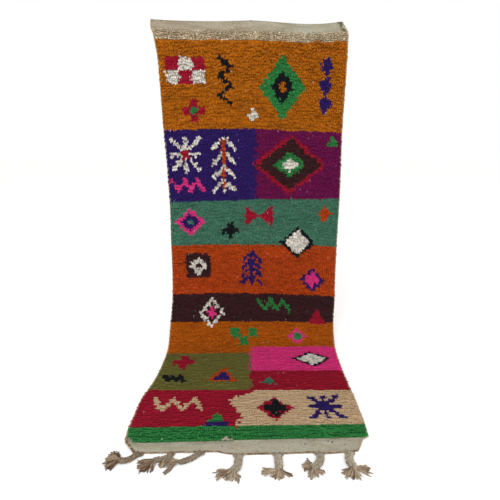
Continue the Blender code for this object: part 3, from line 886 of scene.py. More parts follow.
def cut_end(uneven):
    """One cut end of pile yarn: bellied, and bent from the cloth's front towards the hem."""
    bm = bmesh.new()
    made = bmesh.ops.create_circle(bm, cap_ends=True, segments=END_SIDES, radius=1)["verts"]
    cap = made[0].link_faces[0]
    centre = Vector((0, 0, 0))
    spin = uneven.uniform(0, math.tau)
    for k, ring in enumerate(END_RINGS):
        if k:
            cap = next_cap(bm, cap, k == 1)
            before = END_RINGS[k - 1]
            turn = (before.turn + ring.turn) / 2
            step = (ring.reach - before.reach) * END_LENGTH
            aside = uneven.normal() * END_BEND
            centre = centre + Vector((aside, math.sin(turn) * step, math.cos(turn) * step))
        tilt = Matrix.Rotation(-ring.turn, 3, "X")
        radius = ring.radius * uneven.uniform(0.85, 1.15)
        for corner, vert in enumerate(cap.verts):
            angle = spin + math.tau * corner / END_SIDES
            vert.co = centre + tilt @ Vector((math.cos(angle), math.sin(angle), 0)) * radius
    return form_of(bm)


def turned_axes(front, yaw, lean=0.0):
    """The cloth's axes turned by yaw about its front, then leant further towards the hem. Rows are axes."""
    side, down = cloth_axes(front)
    c, s = np.cos(yaw)[:, None], np.sin(yaw)[:, None]
    side, down = side * c + down * s, down * c - side * s
    lean = np.broadcast_to(lean, yaw.shape)
    c, s = np.cos(lean)[:, None], np.sin(lean)[:, None]
    down, front = down * c - front * s, front * c + down * s
    return np.stack((side, down, front), 1)


def make_pile(design, colours, material, uneven):
    """The knots' cut ends, in one piece for each band of the field."""
    across, along, yarn = design
    forms = [cut_end(uneven) for _ in range(END_FORMS)]
    shape = along.shape + (ENDS,)
    noise = partial(uneven.normal, size=shape)
    rough = np.where(along > SMOOTH_START, SMOOTH_SHARE, 1)[..., None]
    runs = rough * smooth_noise(uneven, along.shape, 0, 2)[..., None]
    knot = rough * smooth_noise(uneven, along.shape, 0, 0)[..., None]
    brushed = smooth_noise(uneven, along.shape, 8, 8)[..., None]

    def strayed(share):
        """Unevenness of the ends that a knot, a run of knots and each end add to."""
        return share.knot * knot + share.run * runs + share.end * rough * noise()

    cell = (np.sum(sides_at(along[:, 0]), axis=0) / KNOT_COLUMNS)[:, None, None]
    stagger = np.where(np.arange(KNOT_ROWS) % 2, ROW_STAGGER, -ROW_STAGGER)[:, None, None]
    ends = (np.arange(ENDS) + 0.5) / ENDS - 0.5
    x = across[..., None] + cell * (ends + stagger + END_SPACING * noise())
    s = along[..., None] + ROW_PITCH * (strayed(SLIP) + ROW_SLIP)
    side = np.arange(KNOT_COLUMNS) / (KNOT_COLUMNS - 1) * 2 - 1
    outward = (np.sign(side) * np.abs(side) ** SIDE_FLARE)[None, :, None]
    yaw = END_YAW * noise() + BRUSHED_YAW * brushed - SIDE_YAW * outward
    lean = strayed(LEAN)
    green = along[..., None] > BLOCKS[-1].start
    length = np.clip(1 + strayed(LENGTH), 0.7, 1.3) * np.where(green, GREEN_LENGTH, 1)
    width = cell / (RUG_WIDTH / KNOT_COLUMNS) * (1 + END_WIDTH * noise())
    flecked = (uneven.random(shape) < FLECK_SHARE) * uneven.random(shape) * FLECK_WOOL
    undyed = linear(yarn_colour("cream"))
    colours = colours[:, :, None] * (1 - flecked[..., None]) + undyed * flecked[..., None]
    fluffy = (yarn == YARN_NAMES.index("cream"))[..., None]
    colours = colours * (1 + (END_TINT + FLUFFY_TINT * fluffy) * noise())[..., None]
    made = []
    first = 0
    for band in PILE_BANDS:
        last = row_at(band.end)
        flat_x, flat_s, flat_yaw, flat_lean, wide, reach = (
            values[first:last].ravel() for values in (x, s, yaw, lean, width, length)
        )
        place, front = back_of_cloth(flat_x, flat_s)
        copies = (
            uneven.integers(0, END_FORMS, len(flat_x)), place + front * END_ROOT,
            turned_axes(front, flat_yaw, flat_lean), np.stack((wide, reach, reach), -1),
            colours[first:last].reshape(-1, 3),
        )
        # Painted shade: each end is darker at its root, up to half its length
        painted_shades = np.interp(forms[0].points[:, 1], (0, 0.5 * END_LENGTH), (band.root_shade, 1))
        row, column, end = np.indices((last - first, KNOT_COLUMNS, ENDS))
        tall = 1 / (last - first)
        squares = np.stack((
            column / KNOT_COLUMNS, (row + end / ENDS) * tall,
            np.full(row.shape, 1 / KNOT_COLUMNS), np.full(row.shape, tall / ENDS),
        ), -1).reshape(-1, 4)
        made.append(joined_copies(band.name, material, forms, copies, painted_shades, squares))
        first = last
    return made


def ground_rows():
    """Places of the ground's rows along the cloth: close in the plain weaves, one to each row of knots."""
    heading = np.linspace(0, HEADING_END, HEADING_STEPS + 1)[:-1]
    ridges = np.linspace(HEADING_END, RIDGES_END, RIDGE_STEPS + 1)[:-1]
    field = np.linspace(RIDGES_END, PILE_END, KNOT_ROWS + 1)[:-1]
    hem = np.linspace(PILE_END, RUG_LENGTH, HEM_STEPS + 1)
    return np.concatenate((heading, ridges, field, hem))


def ground_columns(along):
    """Places across of the ground's columns on each row, with their distances from the nearer side."""
    left, right = sides_at(along)
    inner = np.linspace(0, 1, KNOT_COLUMNS + 1)
    across = -left[:, None] + SELVEDGE_WIDTH + (left + right - 2 * SELVEDGE_WIDTH)[:, None] * inner
    half = SELVEDGE_WIDTH / 2
    across = np.concatenate((
        -left[:, None], -left[:, None] + half, across, right[:, None] - half, right[:, None]
    ), 1)
    return across, np.minimum(across + left[:, None], right[:, None] - across)


def make_ground(design, design_colours, material, uneven):
    """The woven cloth under the pile: a grid laid on the back, then extruded to the front's heights."""
    rows = ground_rows()
    across, from_side = ground_columns(rows)
    along = np.repeat(rows[:, None], across.shape[1], 1)
    last_row, last_column = across.shape[0] - 1, across.shape[1] - 1
    bm = bmesh.new()
    bmesh.ops.create_grid(bm, x_segments=last_column, y_segments=last_row, size=1)
    row_of, column_of, front_of = (bm.verts.layers.int.new(name) for name in GRID_LAYERS)
    for vert in bm.verts:
        vert[column_of] = round((vert.co.x + 1) / 2 * last_column)
        vert[row_of] = round((1 - vert.co.y) / 2 * last_row)
    for item in bmesh.ops.extrude_face_region(bm, geom=bm.faces[:])["geom"]:
        if isinstance(item, bmesh.types.BMVert):
            item[front_of] = 1
    place, front = back_of_cloth(across, along)
    puckers = smoothed(smoothed(uneven.normal(size=along.shape), 3, 0), 5, 1)
    height = ground_height(from_side, along)
    height = height + PUCKER * puckers * np.clip((from_side - 0.004) / 0.006, 0, 1)
    faces = place + front * height[..., None]
    mesh = bpy.data.meshes.new("woven_ground")
    bm.to_mesh(mesh)
    bm.free()
    row, column, is_front = (grid_layer(mesh, name) for name in GRID_LAYERS)
    set_values(mesh.vertices, "co", np.where(is_front[:, None] == 1, faces[row, column], place[row, column]))
    corners = np.empty(len(mesh.loops), np.int32)
    mesh.loops.foreach_get("vertex_index", corners)
    quads = corners.reshape(-1, 4)
    cell = np.minimum(row[quads].min(1), last_row - 1), np.minimum(column[quads].min(1), last_column - 1)
    colours = ground_colours(design_colours, rows, across, uneven)
    per_face = colours[cell]
    # Painted shade on the ground's front between the knots
    shades = gap_shades(design[2], rows, colours)[cell]
    per_face = np.where((is_front[quads].sum(1) == 4)[:, None], per_face * shades[:, None], per_face)
    set_colours(mesh, np.repeat(per_face, 4, 0), "CORNER")
    left, right = sides_at(along[row, column])
    share = (across[row, column] + left) / (left + right)
    flat = np.stack((share * RUG_WIDTH, along[row, column]), -1)[corners]
    set_values(mesh.uv_layers.new(name="Cloth").uv, "vector", flat)
    lay_out_ground(mesh, quads, is_front, share, along[row, column] / RUG_LENGTH)
    for name in GRID_LAYERS:
        mesh.attributes.remove(mesh.attributes[name])
    bm = bmesh.new()
    bm.from_mesh(mesh)
    bmesh.ops.recalc_face_normals(bm, faces=bm.faces[:])
    bm.to_mesh(mesh)
    bm.free()
    mesh.shade_smooth()
    piece = add_piece("woven_ground", mesh, material)
    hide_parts("rug")
    return piece


def grid_layer(mesh, name):
    """Whole numbers kept for each point of the ground's grid."""
    values = np.empty(len(mesh.vertices), np.int32)
    mesh.attributes[name].data.foreach_get("value", values)
    return values


def lay_out_ground(mesh, quads, is_front, across_share, along_share):
    """A map for baking: the front, the back beside it, and the thin edges in a strip on the right."""
    fronts = is_front[quads].sum(1)
    u = 0.01 + 0.46 * across_share[quads] + np.where(fronts == 4, 0, 0.48)[:, None]
    v = 0.99 - 0.98 * along_share[quads]
    edges = np.flatnonzero((fronts > 0) & (fronts < 4))
    foot = 0.01 + 0.98 * np.arange(len(edges)) / len(edges)
    u[edges] = np.array((0.972, 0.992, 0.992, 0.972))
    v[edges] = foot[:, None] + np.array((0.1, 0.1, 0.9, 0.9)) * 0.98 / len(edges)
    set_values(mesh.uv_layers.new(name="OFBake").uv, "vector", np.stack((u, v), -1))


def field_of(rows, columns):
    """The part of a table of the ground's faces where the knots stand."""
    first = int(np.searchsorted(rows, RIDGES_END))
    margin = (columns - KNOT_COLUMNS) // 2
    return slice(first, first + KNOT_ROWS), slice(margin, margin + KNOT_COLUMNS)


def gap_shades(yarn, rows, colours):
    """Painted shade on the ground's front between the knots, by face. Streaky yarns part the most."""
    shades = np.ones(colours.shape[:2])
    streaks = np.array([y.streak for y in YARNS.values()])[yarn]
    shades[field_of(rows, colours.shape[1])] = 1 - GAP_SHADE * streaks
    return shades


def ground_colours(design_colours, rows, across, uneven):
    """Linear colours of the ground's faces: undyed weave, with the knots' yarn where the pile stands."""
    columns = across.shape[1] - 1
    middles = (across[:-1, :-1] + across[1:, 1:]) / 2
    along = np.repeat(((rows[:-1] + rows[1:]) / 2)[:, None], columns, 1)
    colours = np.tile(linear(yarn_colour("weft")), (len(rows) - 1, columns, 1))
    # Painted shade on the ground under the heading's loops, seen where their rows part
    looped = (ease((along - HEADING_END - 0.001) / 0.012) * (along < RIDGES_END))[..., None]
    colours = colours * (1 - looped) + linear(LOOP_GAP_SHADE_COLOUR) * looped
    field = field_of(rows, columns)
    dyed = np.zeros(along.shape, bool)
    dyed[field] = True
    design = np.zeros(colours.shape)
    design[field] = design_colours * GROUND_DYE
    dyed &= middles + sides_at(along)[0] > bare_width(along)
    colours = np.where(dyed[..., None], design, colours)
    stains = smoothed(smoothed(uneven.normal(size=along.shape), 3, 0), 6, 1)
    specks = uneven.normal(size=along.shape)
    heading = (along < RIDGES_END)[..., None]
    stained = np.where(heading, HEADING_STAINS, 1.0) * stains[..., None]
    colours = colours * (1 + STAIN_TINT * stained) * (1 + SPECKS * specks)[..., None]
    to_right = middles[..., None] / HEADING_REACH
    tint = (RIGHT_LIGHT - HEADING_TINT) * to_right - LEFT_SHADE * (middles < LEFT_SHADE_END)[..., None]
    colours = np.where(heading, colours * (1 + tint), colours)
    # Grime darkens the top edge; grime and painted shade darken the hem edge
    top = (1 - ease((along - 0.001) / 0.005))[..., None]
    hem = ease((along - RUG_LENGTH + 0.006) / 0.004)[..., None]
    hem_light = 1 + HEM_LIGHT * (along > PILE_END)[..., None]
    edge = np.maximum(top * (0.6 + 0.3 * stains[..., None]), 0.6 * hem)
    shade = 1 - (1 - GRIME_AND_SHADE_TINT) * np.clip(edge, 0, 1)
    # Painted shadow in the crease of the curled corner, in the heading's band
    beyond = (middles - CURL_TOP[0]) * CURL_OUTWARD[0] - along * CURL_OUTWARD[2]
    fold_shadow = ease((beyond - FOLD_START) / FOLD_RISE) * (1 - ease((beyond - FOLD_END) / FOLD_FALL))
    fold_shadow = fold_shadow * (along < RIDGES_END)
    return colours * hem_light * shade * (1 - FOLD_SHADOW_TINT * fold_shadow[..., None])


def small_lumps(uneven):
    """Rounded lumps of yarn, each about 1 in radius."""
    forms = []
    for _ in range(LUMP_FORMS):
        bm = bmesh.new()
        bmesh.ops.create_uvsphere(bm, u_segments=6, v_segments=4, radius=1)
        for vert in bm.verts:
            vert.co *= uneven.uniform(0.88, 1.1)
        forms.append(form_of(bm))
    return forms


def lump_sizes(uneven, count, lump):
    """Uneven half sizes of lumps, across, along and up."""
    return np.stack([half * (1 + spread * uneven.normal(size=count)) for half, spread in lump], -1)


def lay_lumps(name, material, forms, painted_shades, spots, height, yaw, size, colours, uneven, kept=slice(None)):
    """One piece of lumps of yarn that lie on the cloth."""
    place, front = back_of_cloth(*spots)
    picks = uneven.integers(0, LUMP_FORMS, len(yaw))
    copies = (picks, place + front * height, turned_axes(front, yaw), size, colours)
    piece = joined_copies(name, material, forms, [part[kept] for part in copies], painted_shades)
    return piece


def make_heading_loops(material, uneven):
    """Undyed looped rows of the heading: plump lumps in wavy rows, with dark gaps where the rows part."""
    forms = small_lumps(uneven)
    # Painted shade: each lump is darker on its side against the cloth
    painted_shades = np.interp(forms[0].points[:, 2], (-0.2, 0.6), (0.66, 1))
    pitch = (RIDGES_END - HEADING_END) / LOOP_ROWS
    row, column = np.indices((LOOP_ROWS + 1, LOOP_COLUMNS))
    row = row - 1
    shape = row.shape
    wave = smoothed(uneven.normal(size=shape), 2, 1)
    s = HEADING_END + (row + 0.5) * pitch + LOOP_WAVE * wave + LOOP_ROW_STRAY * uneven.normal(size=shape)
    left, right = sides_at(s)
    x = -left + LOOP_INSET + (left + right - 2 * LOOP_INSET) * (column + 0.5) / LOOP_COLUMNS
    x = (x + LOOP_STRAY * uneven.normal(size=shape)).ravel()
    early = np.where(x < -0.30, 0.75, 0.12).reshape(shape) + 0.3 * smooth_noise(uneven, shape, 0, 4)
    kept = np.where(row < 0, uneven.random(shape) < early, uneven.random(shape) < LOOPS_KEPT).ravel()
    yaw = np.radians(20) * uneven.normal(size=x.size) + np.radians(12) * np.where(row.ravel() % 2, 1, -1)
    size = np.clip(lump_sizes(uneven, x.size, LOOP_LUMP), 0.002, 0.0090)
    last = row.ravel() == LOOP_ROWS - 1
    nub = (last & (uneven.random(x.size) < np.where(x < 0, 0.30, 0.10)))[:, None]
    paler = uneven.random((x.size, 1)) * 0.8 * (nub | (uneven.random((x.size, 1)) < 0.05))
    patches = smooth_noise(uneven, shape, 1, 5).reshape(-1, 1)
    colours = linear(LOOP_COLOUR) * (1 + 0.13 * uneven.normal(size=(x.size, 1)) + 0.08 * patches)
    colours = colours * (1 - paler) + linear(TUFT_COLOUR) * 1.15 * paler
    height = RIDGE_GROUND + NUB_HEIGHT * nub
    return lay_lumps("heading_loops", material, forms, painted_shades, (x, s.ravel()), height, yaw, size, colours,
                     uneven, kept)


def make_selvedge(name, sign, material, uneven):
    """Overcast stitches round one long side of the cloth, grimy at the lower left corner."""
    forms = small_lumps(uneven)
    s = np.arange(0.003, RUG_LENGTH - 0.004, STITCH_PITCH)
    s = s + 0.001 * uneven.normal(size=s.size)
    left, right = sides_at(s)
    x = -left + STITCH_INSET if sign < 0 else right - STITCH_INSET
    yaw = np.radians(16) + np.radians(9) * uneven.normal(size=s.size)
    corner = ease((s - CORNER_START) / 0.02) * (sign < 0)
    size = lump_sizes(uneven, s.size, STITCH_LUMP) * (1 + np.array(CORNER_SWELL) * corner[:, None])
    tone = 1 + 0.16 * uneven.normal(size=(s.size, 1))
    brown = (corner * uneven.uniform(0.2, 1.0, s.size))[:, None]
    colours = (linear(SELVEDGE_COLOUR) * (1 - brown) + linear(GRIME_COLOUR) * brown) * tone
    painted_shades = np.ones(len(forms[0].points))
    return lay_lumps(name, material, forms, painted_shades, (x, s), STITCH_HEIGHT, yaw, size, colours, uneven)


def make_hem_twining(material, uneven):
    """A twisted line of brownish yarn along the hem's edge."""
    forms = small_lumps(uneven)
    left, right = sides_at(np.array([RUG_LENGTH]))
    x = np.arange(-left[0] + 0.003, right[0] - 0.002, TWINE_PITCH)
    runs = smooth_noise(uneven, (1, x.size), 0, 4)[0]
    s = RUG_LENGTH - 0.0010 + 0.0009 * runs + 0.0006 * uneven.normal(size=x.size)
    yaw = np.radians(20 + 14 * uneven.normal(size=x.size))
    size = lump_sizes(uneven, x.size, TWINE_LUMP)
    tone = np.clip(0.35 + 0.3 * runs + 0.25 * uneven.normal(size=x.size), 0, 1)[:, None]
    colours = linear(GRIME_COLOUR) * (1 - tone) + linear(SELVEDGE_COLOUR) * tone
    painted_shades = np.ones(len(forms[0].points))
    return lay_lumps("hem_twining", material, forms, painted_shades, (x, s), TWINE_HEIGHT, yaw, size, colours, uneven)


def make_stray_tufts(material, uneven):
    """Loose tufts and stray fibres lying on the cloth."""
    forms = small_lumps(uneven)
    # Painted shade: each tuft is darker on its side against the cloth
    painted_shades = np.interp(forms[0].points[:, 2], (-0.5, 0.5), (0.7, 1))
    x, s, radius = np.array([(tuft.across, tuft.along, tuft.size) for tuft in TUFTS]).T
    yaw = uneven.uniform(-0.4, 0.4, len(TUFTS))
    size = radius[:, None] * np.array(TUFT_SHAPE)
    on_pile = (s > RIDGES_END) & (s < PILE_END + 0.010)
    height = np.where(on_pile, PILE_TOP, WEAVE_THICKNESS + 0.3 * radius)[:, None]
    colours = linear([(tuft.red, tuft.green, tuft.blue) for tuft in TUFTS])
    return lay_lumps("stray_tufts", material, forms, painted_shades, (x, s), height, yaw, size, colours, uneven)


def swept_yarn(bm, centres, widths, heights, sides, tone, uneven, under_shade, rough):
    """A closed yarn along centres, with painted shade underneath. Widths are level and heights upright,
    whole sizes.
    """
    tone_of = bm.verts.layers.float_color["colour_and_shade"]
    made = bmesh.ops.create_circle(bm, cap_ends=True, segments=sides, radius=1)["verts"]
    cap = made[0].link_faces[0]
    for k, centre in enumerate(centres):
        ahead = centres[min(k + 1, len(centres) - 1)] - centres[max(k - 1, 0)]
        side = Vector((0, 0, 1)).cross(ahead).normalized()
        up = ahead.cross(side).normalized()
        if k:
            cap = next_cap(bm, cap, k == 1)
        for corner, vert in enumerate(cap.verts):
            angle = math.tau * corner / sides
            spot = side * math.cos(angle) * widths[k] / 2 + up * math.sin(angle) * heights[k] / 2
            swell = uneven.normal() * rough
            vert.co = centre + spot * (1 + 0.5 * swell)
            vert.co.z = max(vert.co.z, FLOOR)
            shade = under_shade + (1 - under_shade) * (math.sin(angle) + 1) / 2
            vert[tone_of] = (*(tone * shade * (1 + swell)), 1)


def hem_line(across):
    """Forward reach of the hem at a place across."""
    place, _ = back_of_cloth(np.array([across]), np.array([RUG_LENGTH]))
    return place[0][1]


def plait_route(plait):
    """Points along the plait's middle on the floor, a step apart, from just inside the hem out."""
    corners = [np.array((plait.root, hem_line(plait.root) + 0.004))]
    corners += [np.array((x, -forward)) for x, forward in plait.route]
    steps = [np.linalg.norm(b - a) for a, b in zip(corners, corners[1:])]
    travelled = np.concatenate(([0], np.cumsum(steps)))
    table = [RoutePoint(d, c[0], c[1]) for d, c in zip(travelled, corners)]
    distances = np.linspace(0, travelled[-1], round(travelled[-1] / PLAIT_STEP) + 1)
    return distances, follow(table, "distance", "x", distances), follow(table, "distance", "y", distances)


def lay_strands(bm, plait, soil, uneven):
    """The plait's three strands, from the hem to its neck. Gives the direction in which it ends."""
    distances, xs, ys = plait_route(plait)
    light, dark = linear(PLAIT_COLOUR), linear(PLAIT_DARK_COLOUR)
    gathered = ease((distances - 0.004) / GATHER_LENGTH)
    width = plait.width * (ROOT_SPREAD + (1 - ROOT_SPREAD) * gathered)
    height = WEAVE_THICKNESS + (plait.width * PLAIT_FLATNESS - WEAVE_THICKNESS) * gathered
    neck = 1 - NECK_PINCH * ease(1 - (distances[-1] - distances) / NECK_LENGTH)
    ahead = np.stack((np.gradient(xs), np.gradient(ys)), -1)
    for strand in range(3):
        phase = math.tau * (distances / PLAIT_TURN + strand / 3)
        centres = []
        for k in range(len(distances)):
            side = Vector((-ahead[k][1], ahead[k][0], 0)).normalized()
            swing = math.sin(phase[k]) * width[k] * neck[k] * STRAND_SWING
            rise = math.sin(2 * phase[k]) * height[k] * STRAND_RISE * gathered[k]
            centres.append(Vector((xs[k], ys[k], FLOOR + height[k] / 2 + rise)) + side * swing)
        tone = (light + (dark - light) * soil * 0.8) * uneven.uniform(0.9, 1.05)
        swept_yarn(bm, centres, width * neck * STRAND_WIDTH, height * STRAND_HEIGHT, YARN_SIDES, tone,
                   uneven, under_shade=0.5, rough=0.24)
    return math.atan2(ahead[-1][0], -ahead[-1][1])


def lay_lock(bm, plait, spray, lock, route, soil, uneven):
    """One lock of frayed yarns. They leave the plait's end, turn to their heading and come to the floor."""
    across_end = Vector((math.cos(route), math.sin(route), 0)) * plait.width * LOCK_ROOTS
    light, dark = linear(FRAY_COLOUR), linear(FRAY_DARK_COLOUR)
    share = (lock + uneven.uniform(0.2, 0.8)) / spray.locks * 2 - 1
    heading = math.radians(spray.heading + spray.spread * share)
    aside = max(-1, min(1, (heading - route) / WIDEST_LOCK))
    length = spray.length * uneven.uniform(0.80, 1.06)
    swerve = uneven.normal() * spray.swerve
    lift = uneven.uniform(0.2, 1.0)
    mix = soil * LOCK_SOIL + uneven.uniform(-0.10, 0.72)
    frizz = LEAST_FRIZZ + MORE_FRIZZ * min(1, spray.spread / FRIZZY_SPREAD)
    for _ in range(LOCK_YARNS):
        tone = light + (dark - light) * np.clip(mix + uneven.uniform(-0.25, 0.25), 0, 1)
        radius = FRAY_RADIUS * uneven.uniform(0.7, 1.2)
        start_height = plait.width * PLAIT_FLATNESS * uneven.uniform(0.3, 0.85)
        point = Vector((spray.across, -spray.forward, FLOOR + start_height))
        point = point + across_end * (aside + uneven.normal() * 0.18)
        yarn_swerve = swerve + uneven.normal() * frizz
        crimp, phase = uneven.normal() * frizz, uneven.uniform(0, math.tau)
        yarn_length = length * uneven.uniform(0.72, 1.08)
        centres = [point.copy()]
        for k in range(FRAY_STEPS):
            t = (k + 1) / FRAY_STEPS
            turn = route + (heading - route) * min(1, 2.6 * t) + yarn_swerve * t * t
            turn += crimp * math.sin(phase + 5 * t)
            point = point + Vector((math.sin(turn), -math.cos(turn), 0)) * yarn_length / FRAY_STEPS
            rest = FLOOR + radius * 1.05 + spray.rise * math.sin(math.pi * t ** 0.7)
            rest += LOCK_LIFT * lift * (1 - t) * uneven.uniform(0.4, 1.3)
            point.z = max(point.z + (rest - point.z) * min(1, 0.25 + 0.75 * t), FLOOR + radius * 1.02)
            centres.append(point.copy())
        along_yarn = np.linspace(0, 1, FRAY_STEPS + 1)
        thickness = np.interp(along_yarn, *LOCK_TAPER) * 2 * radius
        swept_yarn(bm, centres, thickness, thickness, FRAY_SIDES, tone * uneven.uniform(0.75, 1.2), uneven,
                   under_shade=0.38, rough=0.10)


def make_plait(number, plait, material, uneven):
    """One plait of gathered warp ends, with its frayed end fanned out in locks on the floor."""
    soil = PLAIT_SOIL[number - 1]
    bm = bmesh.new()
    bm.verts.layers.float_color.new("colour_and_shade")
    route = lay_strands(bm, plait, soil, uneven)
    for spray in SPRAYS:
        if spray.plait == number:
            for lock in range(spray.locks):
                lay_lock(bm, plait, spray, lock, route, soil, uneven)
    name = f"plait_yarns_{number}"
    piece = add_piece(name, mesh_of(name, bm), material)
    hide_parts(f"plait_{number}")
    return piece


def set_inputs(tree, node, inputs):
    """Gives each named input a value, or a link from another node's output."""
    for name, value in inputs.items():
        if isinstance(value, bpy.types.NodeSocket):
            tree.links.new(value, node.inputs[name])
        else:
            node.inputs[name].default_value = value


def add_node(tree, kind, inputs, **settings):
    """A new shader node with its settings and inputs. Gives its outputs."""
    node = tree.nodes.new("ShaderNode" + kind)
    for name, value in settings.items():
        setattr(node, name, value)
    set_inputs(tree, node, inputs)
    return node.outputs


def calculated(tree, operation, *values):
    """The output of a Math node."""
    return add_node(tree, "Math", dict(enumerate(values)), operation=operation)["Value"]


def ranged(tree, value, start, end, low=0.0, high=1.0):
    """The output of a Map Range node that takes start to low and end to high."""
    ends = {"From Min": start, "From Max": end, "To Min": low, "To Max": high}
    return add_node(tree, "MapRange", {"Value": value, **ends})["Result"]


def shader_group(name, inputs, outputs):
    """A new shader node group with named sockets. Gives it, its inputs and the node of its outputs."""
    group = bpy.data.node_groups.new(name, "ShaderNodeTree")
    for in_out, sockets in (("INPUT", inputs), ("OUTPUT", outputs)):
        for socket, kind in sockets.items():
            group.interface.new_socket(socket, in_out=in_out, socket_type="NodeSocket" + kind)
    return group, group.nodes.new("NodeGroupInput").outputs, group.nodes.new("NodeGroupOutput")


def give_look(group, leave, colour, tone, bump):
    """Ends a group with the colour mottled by a tone, and with the bumped normal."""
    mottled = add_node(group, "VectorMath", {"Vector": colour, "Scale": tone}, operation="SCALE")["Vector"]
    set_inputs(group, leave, {"Colour": mottled, "Normal": bump["Normal"]})


def wool_fibre_group():
    """Shader node group: fine wool fibres that mottle a colour and give it relief."""
    inputs = {"Colour": "Color", "Fibre scale": "Float", "Relief": "Float"}
    group, entry, leave = shader_group("Wool fibre", inputs, LOOK_SOCKETS)
    place = add_node(group, "TexCoord", {})["Object"]
    noise = {"Vector": place, "Scale": entry["Fibre scale"], "Detail": 3, "Roughness": 0.6}
    fibres = add_node(group, "TexNoise", noise)["Fac"]
    bump = add_node(group, "Bump", {"Strength": entry["Relief"], "Distance": 0.0006, "Height": fibres})
    give_look(group, leave, entry["Colour"], ranged(group, fibres, 0.3, 0.7, 0.74, 1.16), bump)
    return group


def repeated_lines(tree, value, start, pitch, sharpness):
    """Thin lines a pitch apart: 1 on a line, 0 off it."""
    turns = calculated(tree, "MULTIPLY", calculated(tree, "SUBTRACT", value, start), math.tau / pitch)
    return ranged(tree, calculated(tree, "COSINE", turns), 1 - sharpness, 1)


def weft_slub_group():
    """Shader node group: slubby weft yarns across the cloth, and the knots' backs between their rows."""
    group, entry, leave = shader_group("Weft slubs", LOOK_SOCKETS, LOOK_SOCKETS)
    flat = add_node(group, "UVMap", {}, uv_map="Cloth")["UV"]
    stretched = add_node(group, "VectorMath", {0: flat, 1: SLUBS_PER_METRE}, operation="MULTIPLY")["Vector"]
    noise = {"Vector": stretched, "Scale": 1, "Detail": 3, "Roughness": 0.7}
    slubs = add_node(group, "TexNoise", noise)["Fac"]
    apart = add_node(group, "SeparateXYZ", {"Vector": flat})
    rows = repeated_lines(group, apart["Y"], RIDGES_END, ROW_PITCH, 0.5)
    column_pitch = (RUG_WIDTH - 2 * SELVEDGE_WIDTH) / KNOT_COLUMNS
    columns = repeated_lines(group, apart["X"], SELVEDGE_WIDTH, column_pitch, 0.35)
    after = calculated(group, "GREATER_THAN", apart["Y"], RIDGES_END)
    before = calculated(group, "LESS_THAN", apart["Y"], PILE_END)
    knotted = calculated(group, "MULTIPLY", after, before)
    gaps = calculated(group, "MULTIPLY", calculated(group, "MAXIMUM", rows, columns), knotted)
    tone = ranged(group, slubs, 0.3, 0.7, 0.80, 1.16)
    shaded = calculated(group, "MULTIPLY", tone, ranged(group, gaps, 0, 1, 1, 0.62))
    height = calculated(group, "SUBTRACT", slubs, gaps)
    relief = {"Distance": 0.0015, "Strength": 0.5, "Height": height, "Normal": entry["Normal"]}
    give_look(group, leave, entry["Colour"], shaded, add_node(group, "Bump", relief))
    return group


def yarn_material(name, fibre, fibre_scale, relief, roughness, slubs=None):
    """Wool whose colour is the piece's own attribute of yarn colour with painted shade."""
    material = bpy.data.materials.new(name)
    material.use_nodes = True
    tree = material.node_tree
    colour_and_shade = add_node(tree, "Attribute", {}, attribute_name="colour_and_shade")["Color"]
    wool = {"Colour": colour_and_shade, "Fibre scale": fibre_scale, "Relief": relief}
    look = add_node(tree, "Group", wool, node_tree=fibre)
    if slubs:
        look = add_node(tree, "Group", {name: look[name] for name in LOOK_SOCKETS}, node_tree=slubs)
    set_inputs(tree, tree.nodes["Principled BSDF"], {
        "Base Color": look["Colour"], "Normal": look["Normal"], "Roughness": roughness,
        "Sheen Weight": 0.03, "Sheen Roughness": 0.6, "Specular IOR Level": 0.08,
    })
    return material


def make_floor():
    """Pale floor that the lower end lies on."""
    bm = bmesh.new()
    bmesh.ops.create_grid(bm, x_segments=1, y_segments=1, size=FLOOR_SIZE / 2)
    bmesh.ops.translate(bm, vec=(0, 0, FLOOR - FLOOR_CLEARANCE), verts=bm.verts[:])
    mesh = bpy.data.meshes.new("floor")
    bm.to_mesh(mesh)
    bm.free()
    paint = bpy.data.materials.new("Pale floor")
    paint.use_nodes = True
    set_inputs(paint.node_tree, paint.node_tree.nodes["Principled BSDF"], {
        "Base Color": (*FLOOR_COLOUR, 1), "Emission Color": (1, 1, 1, 1), "Emission Strength": FLOOR_GLOW,
        "Roughness": 0.8, "Specular IOR Level": 0.1,
    })
    mesh.materials.append(paint)
    floor = bpy.data.objects.new("floor", mesh)
    bpy.context.scene.collection.objects.link(floor)
    return floor


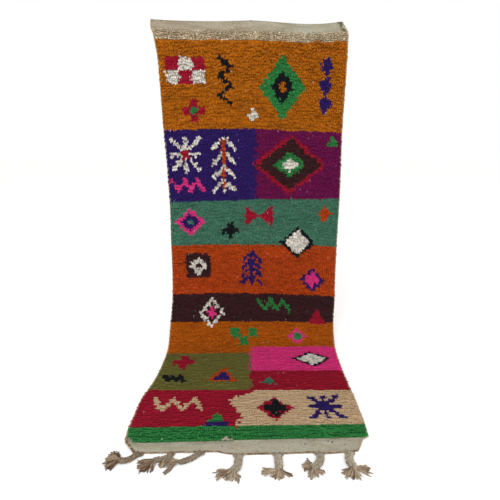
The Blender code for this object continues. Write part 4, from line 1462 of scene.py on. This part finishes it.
def make_studio():
    """Soft light from the front and above, and the photograph's camera."""
    world = bpy.data.worlds.new("Studio")
    world.use_nodes = True
    sky = {"Color": (1, 1, 1, 1), "Strength": 1}
    set_inputs(world.node_tree, world.node_tree.nodes["Background"], sky)
    bpy.context.scene.world = world
    for lamp in LAMPS:
        shine = bpy.data.lights.new(lamp.name, "AREA")
        shine.energy = lamp.energy
        shine.size = lamp.size
        light = bpy.data.objects.new(lamp.name, shine)
        light.location = lamp.place
        light.rotation_euler = (Vector(LAMP_TARGET) - Vector(lamp.place)).to_track_quat("-Z", "Y").to_euler()
        bpy.context.scene.collection.objects.link(light)

    view = bpy.data.cameras.new("camera")
    view.lens = CAMERA_LENS
    view.sensor_width = CAMERA_SENSOR
    camera = bpy.data.objects.new("camera", view)
    camera.location = CAMERA_PLACE
    camera.rotation_euler = (math.pi / 2 - CAMERA_PITCH, 0, 0)
    bpy.context.scene.collection.objects.link(camera)
    bpy.context.scene.camera = camera
    bpy.context.scene.view_settings.view_transform = "Standard"


def main():
    """The studio, the materials and the pieces, from the ground up."""
    uneven = np.random.default_rng(17)
    floor = make_floor()
    make_studio()
    fibre = wool_fibre_group()
    pile_wool = yarn_material("Dyed wool pile", fibre, fibre_scale=650, relief=0.5, roughness=0.95)
    weave_wool = yarn_material("Undyed weave", fibre, fibre_scale=900, relief=0.4, roughness=0.9,
                               slubs=weft_slub_group())
    yarn_wool = yarn_material("Undyed yarn", fibre, fibre_scale=800, relief=0.5, roughness=0.9)
    design = make_design(uneven)
    colours = knot_colours(design[2], uneven)
    ground = make_ground(design, colours, weave_wool, uneven)
    pieces = make_pile(design, colours, pile_wool, uneven)
    pieces.append(make_heading_loops(yarn_wool, uneven))
    pieces.append(make_selvedge("left_selvedge", -1, yarn_wool, uneven))
    pieces.append(make_selvedge("right_selvedge", 1, yarn_wool, uneven))
    pieces.append(make_hem_twining(yarn_wool, uneven))
    pieces.append(make_stray_tufts(yarn_wool, uneven))
    for number, plait in enumerate(PLAITS, start=1):
        pieces.append(make_plait(number, plait, yarn_wool, uneven))


main()
